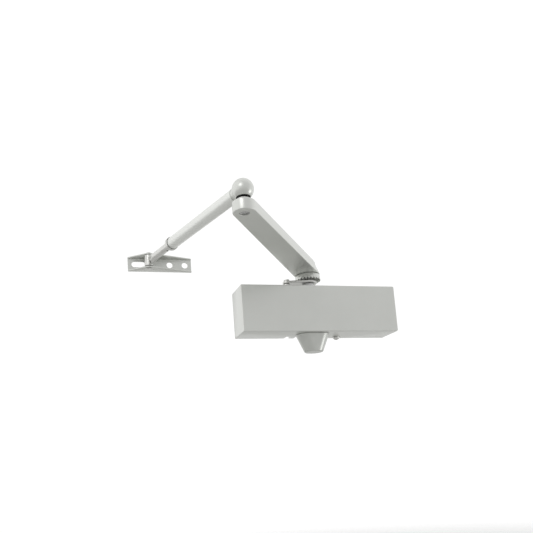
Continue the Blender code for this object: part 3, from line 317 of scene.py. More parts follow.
def box_rings(profile, half_x, half_y, corner):
    """Rings of a profile carried round a rectangle: each (inset, height) step shrinks the rectangle
    by the inset and its corners' radius too, down to nearly sharp."""
    rings = []
    for inset, height in profile:
        outline, _ = rounded_box_outline(half_x - inset, half_y - inset, max(corner - inset, LEAST_CORNER))
        rings.append(np.column_stack([outline, np.full(len(outline), height)]))
    return np.array(rings)


def bar(low, high):
    """A plain block between two corners, as a tool for carving."""
    rings = box_rings([(0, low[2]), (0, high[2])], (high[0] - low[0]) / 2, (high[1] - low[1]) / 2, 0)
    rings[..., :2] += [(high[0] + low[0]) / 2, (high[1] + low[1]) / 2]
    return skin("tool", rings, None)


def rod(radius, low, high, origin, sides=48, toward=(1, 0, 0), axis="z"):
    """A plain round bar from low to high along its own axis, as a tool for carving."""
    place = frame_of(origin, toward)
    return skin("tool", place(turned([(radius, low), (radius, high)], sides, axis)), None)


def mottled(name, colour, metallic, roughness, tone=0.05, patch=0.02, grain=0.0006, depth=0.02):
    """A coated or bare metal: its tone and gloss drift over patches, and a fine grain dents it.
    patch and grain are the sizes of the two noises in metres, depth that of a dent in millimetres,
    and tone the share of the drift."""
    look = bpy.data.materials.new(name)
    look.use_nodes = True
    tree = look.node_tree
    shader = tree.nodes["Principled BSDF"]
    shader.inputs["Metallic"].default_value = metallic
    place = tree.nodes.new("ShaderNodeTexCoord")

    def noise(size, detail):
        made = tree.nodes.new("ShaderNodeTexNoise")
        made.inputs["Scale"].default_value = 1 / size
        made.inputs["Detail"].default_value = detail
        tree.links.new(place.outputs["Object"], made.inputs["Vector"])
        return made.outputs["Fac"]

    drift = noise(patch, 3)
    tones = tree.nodes.new("ShaderNodeValToRGB")
    tones.color_ramp.elements[0].position = 0.3
    tones.color_ramp.elements[1].position = 0.7
    tones.color_ramp.elements[0].color = (*(c * (1 - tone) for c in colour), 1)
    tones.color_ramp.elements[1].color = (*(min(1, c * (1 + tone)) for c in colour), 1)
    tree.links.new(drift, tones.inputs["Fac"])
    tree.links.new(tones.outputs["Color"], shader.inputs["Base Color"])
    gloss = tree.nodes.new("ShaderNodeMapRange")
    gloss.inputs["To Min"].default_value = roughness - GLOSS_DRIFT
    gloss.inputs["To Max"].default_value = roughness + GLOSS_DRIFT
    tree.links.new(drift, gloss.inputs["Value"])
    tree.links.new(gloss.outputs["Result"], shader.inputs["Roughness"])
    dents = tree.nodes.new("ShaderNodeBump")
    dents.inputs["Strength"].default_value = 0.5
    dents.inputs["Distance"].default_value = depth * MM
    tree.links.new(noise(grain, 2), dents.inputs["Height"])
    tree.links.new(dents.outputs["Normal"], shader.inputs["Normal"])
    return look


silver_paint = mottled("silver_paint", PAINT_COLOUR, 0.8, 0.33, tone=0.015, patch=0.03)


def cover_shell():
    """The profile goes up the inner wall, round the rim, down the outer wall and over the front
    edge, carried round a rectangle with round corners."""
    low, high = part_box("cover")
    half_x, half_z = (high.x - low.x) / 2, (high.z - low.z) / 2
    wall = [(COVER_WALL, low.y + COVER_WALL), (COVER_WALL, high.y), (0, high.y), (0, low.y),
            (COVER_EDGE * 2.5, low.y)]
    wall = np.concatenate([soften(wall[:4], COVER_RIM_ROUND, 2)[:-1], soften(wall[2:], COVER_EDGE, 6)[1:]])
    rings = box_rings(wall, half_x, half_z, COVER_CORNER)[..., [0, 2, 1]]
    shell = skin("cover_shell", rings, silver_paint)
    axis = joint_place("arm_swing")
    holes = [rod(SPINDLE_OPENING, 0.9 * low.z, 1.5 * low.z, (axis[0], axis[1], 0)),
             rod(SPINDLE_OPENING, 0.9 * high.z, 1.5 * high.z, (axis[0], axis[1], 0))]
    for valve in ("closing_speed_turn", "latching_speed_turn"):
        x, y, _ = joint_place(valve)
        holes.append(bar((x - NOTCH_WIDTH / 2, y - NOTCH_WIDTH / 2, 1.5 * low.z),
                         (x + NOTCH_WIDTH / 2, high.y + MM, low.z + 1.5 * COVER_WALL)))
    screw_low, screw_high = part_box("cover_screw")
    middle = (screw_low + screw_high) / 2
    holes.append(rod(SCREW_HOLE, 1.5 * low.z, low.z + 1.5 * COVER_WALL, (middle.x, middle.y, 0)))
    return carve(shell, holes)


stand_for(cover_shell(), "cover")


# ---- Cover screw and valves ------------------------------------------------------------------
# The cover's screw is a zinc-plated dome head with a cross recess. The two valves beside the
# spindle are turned steel needles with a screwdriver slot; they set how fast the door shuts.
ZINC_COLOUR = (0.62, 0.62, 0.60)
zinc = mottled("zinc_plate", ZINC_COLOUR, 0.9, 0.3, tone=0.05, patch=0.004, grain=0.0009)
steel = mottled("machined_steel", (0.5, 0.5, 0.5), 1.0, 0.24, tone=0.04, patch=0.003, grain=0.0004)
SCREW_SHANK = 2 * MM
DOME_ARC = (8, 88)              # degrees from the tip between which the dome's points lie
CROSS_DEPTH = 1.5 * MM
CROSS_HALF = (2.4 * MM, 0.5 * MM)
VALVE_NEEDLE = 1.2 * MM
VALVE_TIP = 0.5 * MM
VALVE_TAPER = 3.7 * MM
VALVE_FACE = 0.2 * MM
VALVE_ROUND = 0.4 * MM
SLOT_WIDTH = 1 * MM
SLOT_DEPTH = 1 * MM


def cover_screw():
    """A dome, the arc of an ellipse from the rim to the tip, on a round shank."""
    low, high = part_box("cover_screw")
    middle = (low + high) / 2
    radius = (high.x - low.x) / 2
    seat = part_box("cover")[0].z - GAP
    rise = seat - low.z
    turns = np.radians(np.linspace(*DOME_ARC, 9))
    dome = np.stack([radius * np.sin(turns), seat - rise * np.cos(turns)], 1)
    head = np.concatenate([dome, [(radius, seat), (SCREW_SHANK, seat), (SCREW_SHANK, high.z)]])
    screw = skin("cover_screw_head", frame_of((middle.x, middle.y, 0), (1, 0, 0))(turned(head, 32)), zinc)
    arms = [bar((middle.x - a, middle.y - b, low.z - MM), (middle.x + a, middle.y + b, low.z + CROSS_DEPTH))
            for a, b in (CROSS_HALF, CROSS_HALF[::-1])]
    return carve(screw, arms)


def valve_screw(node, joint):
    """A round head with a soft edge, a straight body and a needle tip, slotted across."""
    low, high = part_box(node)
    x, y, _ = joint_place(joint)
    radius = (high.x - low.x) / 2
    shoulder = high.z - VALVE_TAPER
    steps = [(VALVE_FACE, low.z), (radius, low.z), (radius, shoulder), (VALVE_NEEDLE, shoulder),
             (VALVE_TIP, high.z)]
    rings = turned(soften(steps, VALVE_ROUND, 3), 32)
    screw = skin(node + "_screw", frame_of((x, y, 0), (1, 0, 0))(rings), steel)
    return carve(screw, [bar((x - 2 * radius, y - SLOT_WIDTH / 2, low.z - MM),
                             (x + 2 * radius, y + SLOT_WIDTH / 2, low.z + SLOT_DEPTH))])


stand_for(cover_screw(), "cover_screw")
for valve in ("closing_speed", "latching_speed"):
    stand_for(valve_screw(valve + "_valve", valve + "_turn"), valve + "_valve")


# ---- Spindle cap -----------------------------------------------------------------------------
# A moulded cap in silver plastic over the spindle's lower end. It tapers from a wide oblong at the
# cover to a small flat foot with a soft edge, and snaps over the lower bearing's nut.
CAP_WALL = 2 * MM
CAP_EDGE = 1.3 * MM
CAP_FOOT = (25 * MM, 22 * MM)
plastic = mottled("silver_plastic", (0.52, 0.53, 0.505), 0.65, 0.33, tone=0.02, patch=0.01, grain=0.0009)


def oblong_outline(length, width, height, steps=24):
    """Ring of two half circles of the width, apart by the length less the width, at a height."""
    turns = np.linspace(-math.pi / 2, math.pi / 2, steps)
    turns = np.concatenate([turns, turns + math.pi])
    side = np.where(np.arange(2 * steps) < steps, 1, -1) * (length - width) / 2
    return np.stack([side + width / 2 * np.cos(turns), width / 2 * np.sin(turns),
                     np.full(2 * steps, height)], 1)


def spindle_cap():
    """Oblong rings up the inside and then down the outside. A ring's length and width go from the
    top's to the foot's by its share of the way down, less twice its inset."""
    low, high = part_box("pinion_cap")
    top = np.array([high.x - low.x, high.y - low.y])
    inside = [(CAP_WALL, low.z + CAP_WALL), (CAP_WALL, high.z)]
    outside = soften([(0, high.z), (0, low.z), (3 * CAP_EDGE, low.z)], CAP_EDGE, 6)
    rings = []
    for inset, height in np.concatenate([inside, outside]):
        share = (high.z - height) / (high.z - low.z)
        length, width = top + (np.array(CAP_FOOT) - top) * share - 2 * inset
        rings.append(oblong_outline(length, width, height))
    rings = np.array(rings)
    rings[..., 0] += (low.x + high.x) / 2
    rings[..., 1] += (low.y + high.y) / 2
    return skin("spindle_cap", rings, plastic)


stand_for(spindle_cap(), "pinion_cap")


# ---- Hold-open lever and knob ----------------------------------------------------------------
# A flat zinc-plated lever lies on the spindle between the cover and the hub. The knob at its free
# end is screwed down by hand to clamp the arm at the angle where the door should stay open.
LEVER_EYE = 12 * MM
LEVER_END = 5.5 * MM
LEVER_EDGE = 0.6 * MM
SPINDLE_CLEARANCE = 7.1 * MM
KNOB_NECK = 2.2 * MM
KNOB_ROUND = 1.6 * MM


def link_outline(first, second, distance, steps=24):
    """Outline of two circles joined by their common tangents, the first round the origin and the
    second along x, with the outward normals. The arcs end where the tangents touch."""
    lean = math.acos((first - second) / distance)
    turns = np.concatenate([np.linspace(-lean, lean, steps), np.linspace(lean, 2 * math.pi - lean, steps)])
    normals = np.stack([np.cos(turns), np.sin(turns)], 1)
    radius = np.where(np.arange(2 * steps) < steps, second, first)[:, None]
    centre = np.where(np.arange(2 * steps) < steps, distance, 0)[:, None] * [(1, 0)]
    return centre + normals * radius, normals


def ringed(hole, low, high, outline, normals, edge):
    """Rings of a plate with one round hole: over the rounded outer edge, across the top, down the
    hole and back along the bottom. The hole's points lie toward the outline's points."""
    outer = carried(soften([(2 * edge, low), (0, low), (0, high), (2 * edge, high)], edge, 4),
                    outline, normals)
    circle = outline / np.linalg.norm(outline, axis=1)[:, None] * hole
    inner = [np.column_stack([circle, np.full(len(circle), height)]) for height in (high, low)]
    return np.concatenate([outer, inner])


def hold_open_lever():
    """The outline of two circles and their tangents, with the spindle's hole in the large end."""
    low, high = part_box("hold_open_plate")
    axis, knob = joint_place("hold_open_swing"), joint_place("knob_turn")
    reach = knob - axis
    outline, normals = link_outline(LEVER_EYE, LEVER_END, np.linalg.norm(reach))
    rings = ringed(SPINDLE_CLEARANCE, low.z, high.z, outline, normals, LEVER_EDGE)
    place = frame_of((axis[0], axis[1], 0), reach)
    return skin("hold_open_lever", place(rings), zinc, tube=True)


def hold_open_knob():
    """A domed head above, a flat head below, and the neck through the lever."""
    low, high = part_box("hold_open_knob")
    lever_low, lever_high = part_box("hold_open_plate")
    radius = (high.x - low.x) / 2
    under, over = lever_low.z - GAP, lever_high.z + GAP
    steps = [(POLE, low.z), (radius, low.z), (radius, under), (KNOB_NECK, under), (KNOB_NECK, over),
             (radius, over), (radius, high.z), (POLE, high.z)]
    rings = turned(soften(steps, KNOB_ROUND, 7), 40)
    x, y, _ = joint_place("knob_turn")
    return skin("hold_open_knob_head", frame_of((x, y, 0), (1, 0, 0))(rings), zinc)


stand_for(hold_open_lever(), "hold_open_plate")
stand_for(hold_open_knob(), "hold_open_knob")


# ---- Arm hub ---------------------------------------------------------------------------------
# The forged ring under the main arm, painted like it. It widens a little downwards and ends in a
# crown of pointed teeth that index the arm on the lever below.
CROWN_TEETH = 24
CROWN_DEPTH = 2.6 * MM
CROWN_WALL = 4.5 * MM
HUB_TOP_INSET = 0.6 * MM
HUB_ROUND = 0.6 * MM
TOOTH_STEPS = 6


def arm_hub():
    """Rings from the crown's inner edge, out and up the flared side and over the top. A point of a
    crown ring is raised by the depth times a triangle wave of its turn."""
    low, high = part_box("arm_hub")
    radius = (high.x - low.x) / 2
    sides = CROWN_TEETH * TOOTH_STEPS
    wave = np.abs((np.arange(sides) / TOOTH_STEPS + 0.5) % 1 - 0.5) * 2 * CROWN_DEPTH
    steps = [(SPINDLE_CLEARANCE, high.z), (SPINDLE_CLEARANCE, low.z + CROWN_DEPTH),
             (radius - CROWN_WALL, low.z), (radius, low.z)]
    side = soften([(radius, low.z), (radius - HUB_TOP_INSET, high.z), (radius - CROWN_WALL, high.z)],
                  HUB_ROUND)
    rings = turned(np.concatenate([steps, side[1:]]), sides)
    rings[2:4, :, 2] += wave
    x, y, _ = joint_place("arm_swing")
    return skin("arm_hub_ring", rings + np.array((x, y, 0)), silver_paint, tube=True)


stand_for(arm_hub(), "arm_hub")


# ---- Main arm --------------------------------------------------------------------------------
# A flat forged bar with round ends of two sizes, painted silver. Its wide end sits on the
# spindle's square, and the elbow's stud is riveted through its narrow end.
ARM_HUB_END = 17 * MM
ARM_ELBOW_END = 12.3 * MM
ARM_EDGE = 1 * MM
HUB_FLARE = 4.5 * MM            # the wide end is this much smaller round its top than its foot
HUB_FLARE_REACH = 22 * MM
ARM_END_STEPS = 40              # points round each end
ARM_SIDE_STEPS = 30             # points along each straight side
RIVET_HOLE = 5.3 * MM

spindle_axis = joint_place("arm_swing")
elbow_place = joint_place("elbow_swing")
arm_run = (elbow_place - spindle_axis) * (1, 1, 0)
arm_frame = frame_of((spindle_axis[0], spindle_axis[1], 0), arm_run)
arm_length = float(np.linalg.norm(arm_run))


def main_arm():
    """The outline of two circles and their tangents with a rounded edge; both ends are bored. A point
    moves in by the flare times the square of its share of the height, times a smooth step that is
    whole at the spindle and nothing at the flare's reach."""
    low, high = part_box("main_arm")
    outline, normals = (
        np.concatenate([half[:ARM_END_STEPS],
                        np.linspace(half[ARM_END_STEPS - 1], half[ARM_END_STEPS], ARM_SIDE_STEPS)[1:-1],
                        half[ARM_END_STEPS:], np.linspace(half[-1], half[0], ARM_SIDE_STEPS)[1:-1]])
        for half in link_outline(ARM_HUB_END, ARM_ELBOW_END, arm_length, ARM_END_STEPS))
    edge = soften([(3 * ARM_EDGE, low.z), (0, low.z), (0, high.z), (3 * ARM_EDGE, high.z)], ARM_EDGE, 5)
    rings = carried(edge, outline, normals)
    near = np.clip(1 - rings[..., 0] / HUB_FLARE_REACH, 0, 1)
    level = (rings[..., 2] - low.z) / (high.z - low.z)
    rings[..., :2] -= (HUB_FLARE * level ** 2 * near * near * (3 - 2 * near))[..., None] * normals
    arm = skin("main_arm_bar", arm_frame(rings), silver_paint)
    return carve(arm, [rod(hole, low.z - MM, high.z + MM, (axis[0], axis[1], 0))
                       for hole, axis in ((SPINDLE_CLEARANCE, spindle_axis), (RIVET_HOLE, elbow_place))])


stand_for(main_arm(), "main_arm")


# ---- Arm screw and washer --------------------------------------------------------------------
# A zinc-plated washer and a low hexagon-socket screw hold the arm down on the spindle's square.
ARM_SCREW_SHANK = 3 * MM
HEX_RADIUS = 3 * MM
HEX_DEPTH = 2 * MM
ARM_SCREW_ROUND = 1.2 * MM
WASHER_ROUND = 0.3 * MM


def arm_washer():
    """A flat ring with soft outer edges: the outline of two circles all but equal and concentric."""
    low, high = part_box("arm_washer")
    outline, normals = link_outline((high.x - low.x) / 2, (high.x - low.x) / 2 - 0.001 * MM, 0.01 * MM)
    rings = ringed(ARM_SCREW_SHANK + GAP, low.z, high.z, outline, normals, WASHER_ROUND)
    return skin("arm_washer_ring", rings + np.array((spindle_axis[0], spindle_axis[1], 0)), zinc, tube=True)


def arm_screw():
    """A shank under a round head with a soft upper edge, and a six-sided socket."""
    low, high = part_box("arm_screw")
    radius = (high.x - low.x) / 2
    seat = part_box("arm_washer")[1].z + GAP
    head = soften([(radius, seat), (radius, high.z), (POLE, high.z)], ARM_SCREW_ROUND, 6)
    steps = np.concatenate([[(ARM_SCREW_SHANK, low.z), (ARM_SCREW_SHANK, seat)], head])
    place = (spindle_axis[0], spindle_axis[1], 0)
    screw = skin("arm_screw_head", turned(steps, 48) + np.array(place), zinc)
    return carve(screw, [rod(HEX_RADIUS, high.z - HEX_DEPTH, high.z + MM, place, 6)])


stand_for(arm_washer(), "arm_washer")
stand_for(arm_screw(), "arm_screw")


# ---- Elbow: ball stud, socket, ring ----------------------------------------------------------
# The stud is one turned steel piece: rivet, collar, neck and ball. The round socket snaps over the
# ball, a black rubber ring closes its mouth, and its short neck is pressed into the forearm tube.
STUD_RIVET = 5 * MM
STUD_COLLAR = 6.4 * MM
STUD_NECK = 4 * MM
STUD_BALL = 7.5 * MM
SOCKET_RADIUS = 11.5 * MM
SOCKET_WALL = 2 * MM
SOCKET_MOUTH = 7.6 * MM
SOCKET_BLEND = 0.625 * MM       # how softly the sphere runs into the neck
SOCKET_SIDES = 72
SOCKET_ENDS = (0.02, math.pi - 0.03)    # the first and last turns, just short of the poles
HOLLOW_END = math.pi - 0.05
BALL_END = math.pi - 0.1
STUD_FACE = 0.4 * MM
STUD_ROUND = 0.4 * MM
RING_BORE = 5.7 * MM
RING_ROUND = 0.6 * MM
TUBE_RADIUS = 7.5 * MM
TUBE_BORE = 5.8 * MM
TUBE_START = 14 * MM
NECK_RADIUS = 7.2 * MM
SPIGOT_LENGTH = 11 * MM
rubber = mottled("black_rubber", (0.012, 0.012, 0.012), 0.0, 0.55, tone=0.2, patch=0.004, grain=0.0005)

shoe_pivot = joint_place("shoe_swing")
forearm_run = (shoe_pivot - elbow_place) * (1, 1, 0)
forearm_frame = frame_of(elbow_place, forearm_run)
forearm_length = float(np.linalg.norm(forearm_run))


def elbow_stud():
    """Rivet, collar and neck with softened steps, then the ball as an arc of a circle."""
    low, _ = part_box("elbow_stud")
    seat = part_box("main_arm")[1].z + GAP
    collar_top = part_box("elbow_washer")[0].z - GAP
    steps = soften([(STUD_FACE, low.z), (STUD_RIVET, low.z), (STUD_RIVET, seat), (STUD_COLLAR, seat),
                    (STUD_COLLAR, collar_top), (STUD_NECK, collar_top), (STUD_NECK, collar_top + MM)],
                   STUD_ROUND)
    start = math.asin(STUD_NECK / STUD_BALL)
    turns = np.linspace(start, BALL_END, 24)
    ball = np.stack([STUD_BALL * np.sin(turns), elbow_place[2] - STUD_BALL * np.cos(turns)], 1)
    rings = turned(np.concatenate([steps, ball]), 48)
    return skin("elbow_ball_stud", rings + np.array((elbow_place[0], elbow_place[1], 0)), steel)


def elbow_socket():
    """A surface round the forearm's line in which the distance from the ball's middle is the
    larger of the sphere's radius and the neck's, blended as the logarithm of the sum of their
    powers of e, and no further than the tube's face; then it is hollowed."""
    turns = np.linspace(*SOCKET_ENDS, SOCKET_SIDES)
    ahead = turns < math.pi / 2
    to_face = TUBE_START / np.maximum(np.cos(turns), 0.01)
    neck = np.where(ahead, np.minimum(NECK_RADIUS / np.sin(turns), to_face), 0)
    reach = np.log(np.exp(SOCKET_RADIUS / SOCKET_BLEND) + np.exp(neck / SOCKET_BLEND)) * SOCKET_BLEND
    reach = np.where(ahead, np.minimum(reach, to_face), reach)
    profile = np.stack([reach * np.sin(turns), reach * np.cos(turns)], 1)
    socket = skin("elbow_socket_ball", forearm_frame(turned(profile, SOCKET_SIDES, "x")), silver_paint)
    spigot = rod(TUBE_BORE - GAP, TUBE_START - MM, TUBE_START + SPIGOT_LENGTH, elbow_place, 48,
                 forearm_run, "x")
    carve(socket, [spigot], "UNION")
    hollow = SOCKET_RADIUS - SOCKET_WALL
    start = math.asin(SOCKET_MOUTH / hollow)
    arc = np.linspace(start, HOLLOW_END, 32)
    hollow_steps = np.stack([hollow * np.sin(arc), -hollow * np.cos(arc)], 1)
    hollow_steps = np.concatenate([[(SOCKET_MOUTH, -2 * SOCKET_RADIUS)], hollow_steps])
    tool = skin("tool", turned(hollow_steps, SOCKET_SIDES) + elbow_place, None)
    return carve(socket, [tool])


def elbow_ring():
    """A ring with a soft square section: four softened corners carried round the mouth."""
    low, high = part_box("elbow_seal_ring")
    outer = (high.x - low.x) / 2
    middle = (low.z + high.z) / 2
    section = [(RING_BORE, middle), (RING_BORE, low.z), (outer, low.z), (outer, high.z),
               (RING_BORE, high.z), (RING_BORE, middle)]
    rings = turned(soften(section, RING_ROUND, 4)[:-1], 64)
    return skin("elbow_rubber_ring", rings + np.array((elbow_place[0], elbow_place[1], 0)), rubber, tube=True)


stand_for(elbow_stud(), "elbow_stud")
stand_for(elbow_socket(), "elbow_socket")
stand_for(elbow_ring(), "elbow_seal_ring")


# ---- Forearm tube, collar and rod ------------------------------------------------------------
# A painted steel tube pushed over the socket's neck. A plated collar closes its far end and guides
# the threaded rod, whose length in the tube sets the geometry of the arm on the door.
COLLAR_RADIUS = 8.4 * MM
COLLAR_LAP = 2 * MM
COLLAR_LENGTH = 3 * MM
COLLAR_ROUND = 0.9 * MM
TUBE_LIP = 0.2 * MM
ROD_RADIUS = 4 * MM
THREAD_PITCH = 1.25 * MM
THREAD_DEPTH = 0.6 * MM
ROD_SIDES = 24
ROD_IN_TUBE = 62 * MM
ROD_IN_KNUCKLE = 20 * MM
TUBE_END = 162 * MM
COLLAR_END = TUBE_END + GAP + COLLAR_LENGTH
# The tube's colour is the silver paint made lighter: painted light, so the tube reads brighter than the arm.
tube_paint_painted_lighter = mottled("tube_paint_painted_lighter", (0.73, 0.74, 0.715), 0.75, 0.4, tone=0.015, patch=0.03)


def forearm_tube():
    """The tube's wall section, softened, carried round the forearm's line."""
    section = [(TUBE_BORE, TUBE_END / 2), (TUBE_BORE, TUBE_START), (TUBE_RADIUS, TUBE_START),
               (TUBE_RADIUS, TUBE_END), (TUBE_BORE, TUBE_END), (TUBE_BORE, TUBE_END / 2)]
    rings = turned(soften(section, TUBE_LIP, 4)[:-1], 64, "x")
    return skin("forearm_tube_barrel", forearm_frame(rings), tube_paint_painted_lighter, tube=True)


def tube_collar():
    """A cup-shaped ring over the tube's end, pierced for the rod, with a rolled outer edge."""
    inner = TUBE_RADIUS + GAP
    face = TUBE_END + GAP
    hole = ROD_RADIUS + GAP
    lap = TUBE_END - COLLAR_LAP
    section = [(inner, TUBE_END), (inner, lap), (COLLAR_RADIUS, lap), (COLLAR_RADIUS, COLLAR_END),
               (hole, COLLAR_END), (hole, face), (inner, face), (inner, TUBE_END)]
    rings = turned(soften(section, COLLAR_ROUND, 5)[:-1], 64, "x")
    return skin("tube_collar_ring", forearm_frame(rings), zinc, tube=True)


def forearm_rod():
    """A single screw thread: the radius falls from the crest by the depth times a triangle wave of
    the place along the rod in pitches less the turn."""
    start = TUBE_END - ROD_IN_TUBE
    end = COLLAR_END + GAP + ROD_IN_KNUCKLE
    along = np.arange(start, end, THREAD_PITCH / 4)
    turns = np.linspace(0, 2 * math.pi, ROD_SIDES + 1)[:-1]
    phase = along[:, None] / THREAD_PITCH - turns[None] / (2 * math.pi)
    wave = np.abs(phase % 1 - 0.5) * 2
    fade = np.clip(np.minimum(along - start, end - along) / THREAD_PITCH, 0, 1)[:, None]
    radius = ROD_RADIUS - THREAD_DEPTH * (1 - (1 - wave) * fade)
    rings = np.stack([np.repeat(along[:, None], ROD_SIDES, 1), radius * np.cos(turns),
                      radius * np.sin(turns)], -1)
    return skin("forearm_threaded_rod", forearm_frame(rings), steel, sharp=75)


stand_for(forearm_tube(), "forearm_tube")
stand_for(tube_collar(), "tube_collar")
stand_for(forearm_rod(), "forearm_rod")


# ---- Knuckle ---------------------------------------------------------------------------------
# The forged end on the rod, zinc-plated: a round shank with a hole for a tommy bar, which deepens
# and thins into the barrel that turns on the shoe's pin.
SHANK_RADIUS = 5 * MM
BARREL_RADIUS = 5.8 * MM
PIN_RADIUS = 2.5 * MM
TOMMY_HOLE = 1.4 * MM
TOMMY_PLACE = 9 * MM
WEB_THINNING = 0.35
WEB_STEP = 0.6 * MM             # the barrel stands this much proud of the web above and below
SWELL = (21.8 * MM, 3.48 * MM)  # before the pin's line, where the shank starts and stops to swell
LIP_PLACE = (0, 0.15 * MM, 0.5 * MM, 1 * MM)
LIP_SHARE = (0.86, 0.93, 0.985, 1)      # of the shank's full size, at those places
SWELL_STEPS = 20
KNUCKLE_SIDES = 40
BARREL_ROUND = 0.7 * MM
NOTCH_RADIUS = 1.9 * MM
NOTCH_PLACE = (-9.5 * MM, -4.2 * MM)    # along the forearm from the pin's line, and up


def knuckle():
    """Elliptic rings along the forearm: the half height swells by a smooth step from the shank to
    the barrel, and the half width shrinks by the same step. The barrel is joined on, and then the
    pin's and the rod's bores, the tommy hole and the web's notch are cut."""
    low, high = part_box("knuckle")
    half_height = (high.z - low.z) / 2
    start = COLLAR_END + GAP
    swell_start, swell_end = forearm_length - np.array(SWELL)
    along = np.concatenate([start + np.array(LIP_PLACE), np.linspace(swell_start, swell_end, SWELL_STEPS),
                            [forearm_length]])
    lip = np.concatenate([LIP_SHARE, np.ones(SWELL_STEPS + 1)])
    t = np.clip((along - swell_start) / (swell_end - swell_start), 0, 1)
    step = t * t * (3 - 2 * t)
    tall = (SHANK_RADIUS + (half_height - WEB_STEP - SHANK_RADIUS) * step) * lip
    wide = SHANK_RADIUS * (1 - WEB_THINNING * step) * lip
    turns = np.linspace(0, 2 * math.pi, KNUCKLE_SIDES + 1)[:-1]
    rings = np.stack([np.repeat(along[:, None], KNUCKLE_SIDES, 1), wide[:, None] * np.cos(turns),
                      tall[:, None] * np.sin(turns)], -1)
    piece = skin("knuckle_forging", forearm_frame(rings), zinc)
    barrel = soften([(0.5 * MM, -half_height), (BARREL_RADIUS, -half_height), (BARREL_RADIUS, half_height),
                     (0.5 * MM, half_height)], BARREL_ROUND, 4)
    carve(piece, [skin("tool", turned(barrel, 48) + shoe_pivot, None)], "UNION")
    tommy = forearm_frame(np.array((start + TOMMY_PLACE, 0, 0)))
    notch = forearm_frame(np.array((forearm_length + NOTCH_PLACE[0], 0, NOTCH_PLACE[1])))
    holes = [rod(PIN_RADIUS + GAP, -2 * half_height, 2 * half_height, shoe_pivot, 32),
             rod(ROD_RADIUS + GAP, start - MM, start + ROD_IN_KNUCKLE + GAP, elbow_place, 32,
                 forearm_run, "x"),
             rod(TOMMY_HOLE, -2 * SHANK_RADIUS, -ROD_RADIUS, tommy, 24),
             rod(NOTCH_RADIUS, -2 * SHANK_RADIUS, 2 * SHANK_RADIUS, notch, 32,
                 (-forearm_run[1], forearm_run[0], 0), "x")]
    return carve(piece, holes)


stand_for(knuckle(), "knuckle")


# ---- Shoe and pin ----------------------------------------------------------------------------
# The bracket that is screwed to the door frame: thick sheet steel pressed into a channel whose
# flanges rise to a peak at the riveted pin, with a slot and two screw holes in its web.
SHEET = 2 * MM
BEND = 1.2 * MM
PEAK_RADIUS = 5.5 * MM
END_DEPTH = 1.2 * MM
SHOE_HOLE = 4.2 * MM
SHOE_HOLES = (57 * MM, 78 * MM)
SLOT_ENDS = (9 * MM, 20 * MM)
SLOT_RADIUS = 4 * MM
PIN_HEAD = 4.4 * MM
PIN_HEAD_HEIGHT = 1 * MM
PIN_HEAD_TOP = 3.3 * MM
PIN_ROUND = 0.5 * MM


def flange_depth(x, web, reach):
    """How far the flanges stand out at x: the tangent from the end to the peak's arc, then the arc."""
    far = np.array([reach, web - END_DEPTH])
    distance = np.linalg.norm(far)
    touch = math.atan2(far[1], far[0]) - math.acos(PEAK_RADIUS / distance)
    touch_x, touch_y = PEAK_RADIUS * math.cos(touch), PEAK_RADIUS * math.sin(touch)
    line = touch_y + (np.abs(x) - touch_x) * (far[1] - touch_y) / (far[0] - touch_x)
    arc = -np.sqrt(np.maximum(PEAK_RADIUS ** 2 - x ** 2, 0))
    return np.where(np.abs(x) < touch_x, arc, line)


def shoe():
    """The channel's section at each station along x: round the back, the bends and the two flanges,
    whose fronts lie at the flange depth there."""
    low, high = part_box("shoe")
    left, right = low.x - shoe_pivot[0], high.x - shoe_pivot[0]
    back = high.y - shoe_pivot[1]
    web = back - SHEET
    half = (high.z - low.z) / 2
    stations = np.unique(np.concatenate([np.linspace(left, right, 40),
                                         np.linspace(-PEAK_RADIUS, PEAK_RADIUS, 21)]))
    rings = []
    for x in stations:
        front = float(flange_depth(x, web, -left if x < 0 else right))
        bends = [(back, 0), (back, -half), (front, -half), (front, -half + SHEET), (web, -half + SHEET),
                 (web, half - SHEET), (front, half - SHEET), (front, half), (back, half), (back, 0)]
        section = soften(bends, BEND, 4)[:-1]
        rings.append(np.column_stack([np.full(len(section), x), section]))
    piece = skin("shoe_channel", np.array(rings) + shoe_pivot, silver_paint)
    upright = frame_of(shoe_pivot + (0, back - SHEET / 2, 0), (1, 0, 0), (0, 1, 0))
    tools = []
    for x in SHOE_HOLES:
        ring = turned([(SHOE_HOLE, -2 * SHEET), (SHOE_HOLE, 2 * SHEET)], 40) + (left + x, 0, 0)
        tools.append(skin("tool", upright(ring), None))
    outline, normals = link_outline(SLOT_RADIUS, SLOT_RADIUS, SLOT_ENDS[1] - SLOT_ENDS[0])
    slot = carried([(0, -2 * SHEET), (0, 2 * SHEET)], outline, normals) + (left + SLOT_ENDS[0], 0, 0)
    tools.append(skin("tool", upright(slot), None))
    tools.append(rod(PIN_RADIUS + GAP, -2 * half, 2 * half, shoe_pivot, 32))
    return carve(piece, tools)


def shoe_pin():
    """A straight pin with a low domed head at each end."""
    low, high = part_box("shoe_pin")
    top = (high.z - low.z) / 2
    seat = top - PIN_HEAD_HEIGHT
    steps = [(POLE, -top), (PIN_HEAD_TOP, -top), (PIN_HEAD, -seat), (PIN_RADIUS, -seat),
             (PIN_RADIUS, seat), (PIN_HEAD, seat), (PIN_HEAD_TOP, top), (POLE, top)]
    return skin("shoe_rivet_pin", turned(soften(steps, PIN_ROUND, 4), 40) + shoe_pivot, zinc)


stand_for(shoe(), "shoe")
stand_for(shoe_pin(), "shoe_pin")
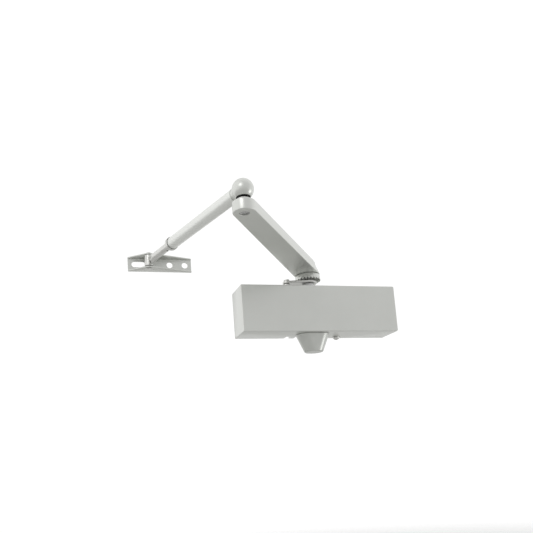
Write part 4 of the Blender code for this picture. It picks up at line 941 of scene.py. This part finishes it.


# ---- Closing spring --------------------------------------------------------------------------
# A coil of spring steel inside the body. The piston presses it together against its seat as the arm swings open.
WIRE_RADIUS = 1.8 * MM
COIL_TURNS = 8
TURN_STEPS = 32
WIRE_SIDES = 12
spring_steel = mottled("spring_steel", (0.16, 0.16, 0.17), 0.9, 0.4, tone=0.1, patch=0.004)


def closing_spring():
    """A helix carries a circle of the wire's radius, spread between the way out from the spring's
    middle line and the cross of that way and the helix's direction."""
    low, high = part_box("closing_spring")
    coil = (high.z - low.z) / 2 - WIRE_RADIUS
    length = high.x - low.x - 2 * WIRE_RADIUS
    turns = np.linspace(0, 2 * math.pi * COIL_TURNS, COIL_TURNS * TURN_STEPS + 1)
    zero = np.zeros_like(turns)
    out = np.stack([zero, np.cos(turns), np.sin(turns)], 1)
    middle = out * coil + (low + high) / 2 + np.array((length, 0, 0)) * (turns / turns[-1] - 0.5)[:, None]
    direction = np.stack([zero + length / turns[-1], -coil * np.sin(turns), coil * np.cos(turns)], 1)
    side = np.cross(direction / np.linalg.norm(direction, axis=1)[:, None], out)
    round_wire = np.linspace(0, 2 * math.pi, WIRE_SIDES + 1)[:-1, None]
    circle = out[:, None] * np.cos(round_wire) + side[:, None] * np.sin(round_wire)
    return skin("closing_spring_coil", middle[:, None] + WIRE_RADIUS * circle, spring_steel, sharp=60)


spring = closing_spring()
stand_for(spring, "closing_spring")
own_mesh(spring)


# ---- Pieces kept as they are -----------------------------------------------------------------
# What stands behind the cover keeps its shape and gets its finish: the cast body, the plate on the
# door, plugs, bearings, nuts, the drive and the small screws.
cast = mottled("cast_aluminium", (0.55, 0.55, 0.56), 0.85, 0.5, tone=0.08, patch=0.006, grain=0.0012,
               depth=0.08)
polymer = mottled("white_polymer", (0.75, 0.74, 0.70), 0.0, 0.45, tone=0.02, patch=0.01)
FINISHES = {"silver_paint": silver_paint, "silver_plastic": plastic, "cast_aluminium": cast,
            "zinc_steel": zinc, "machined_steel": steel, "spring_steel": spring_steel,
            "black_rubber": rubber, "white_polymer": polymer}
NODE_SLOTS = {row["node"]: row["material_slot"] for row in frame["record"]["subparts"]}

for node, thing in frame["nodes"].items():
    if not thing.hide_render:
        for place in thing.material_slots:
            place.material = FINISHES[NODE_SLOTS[node]]
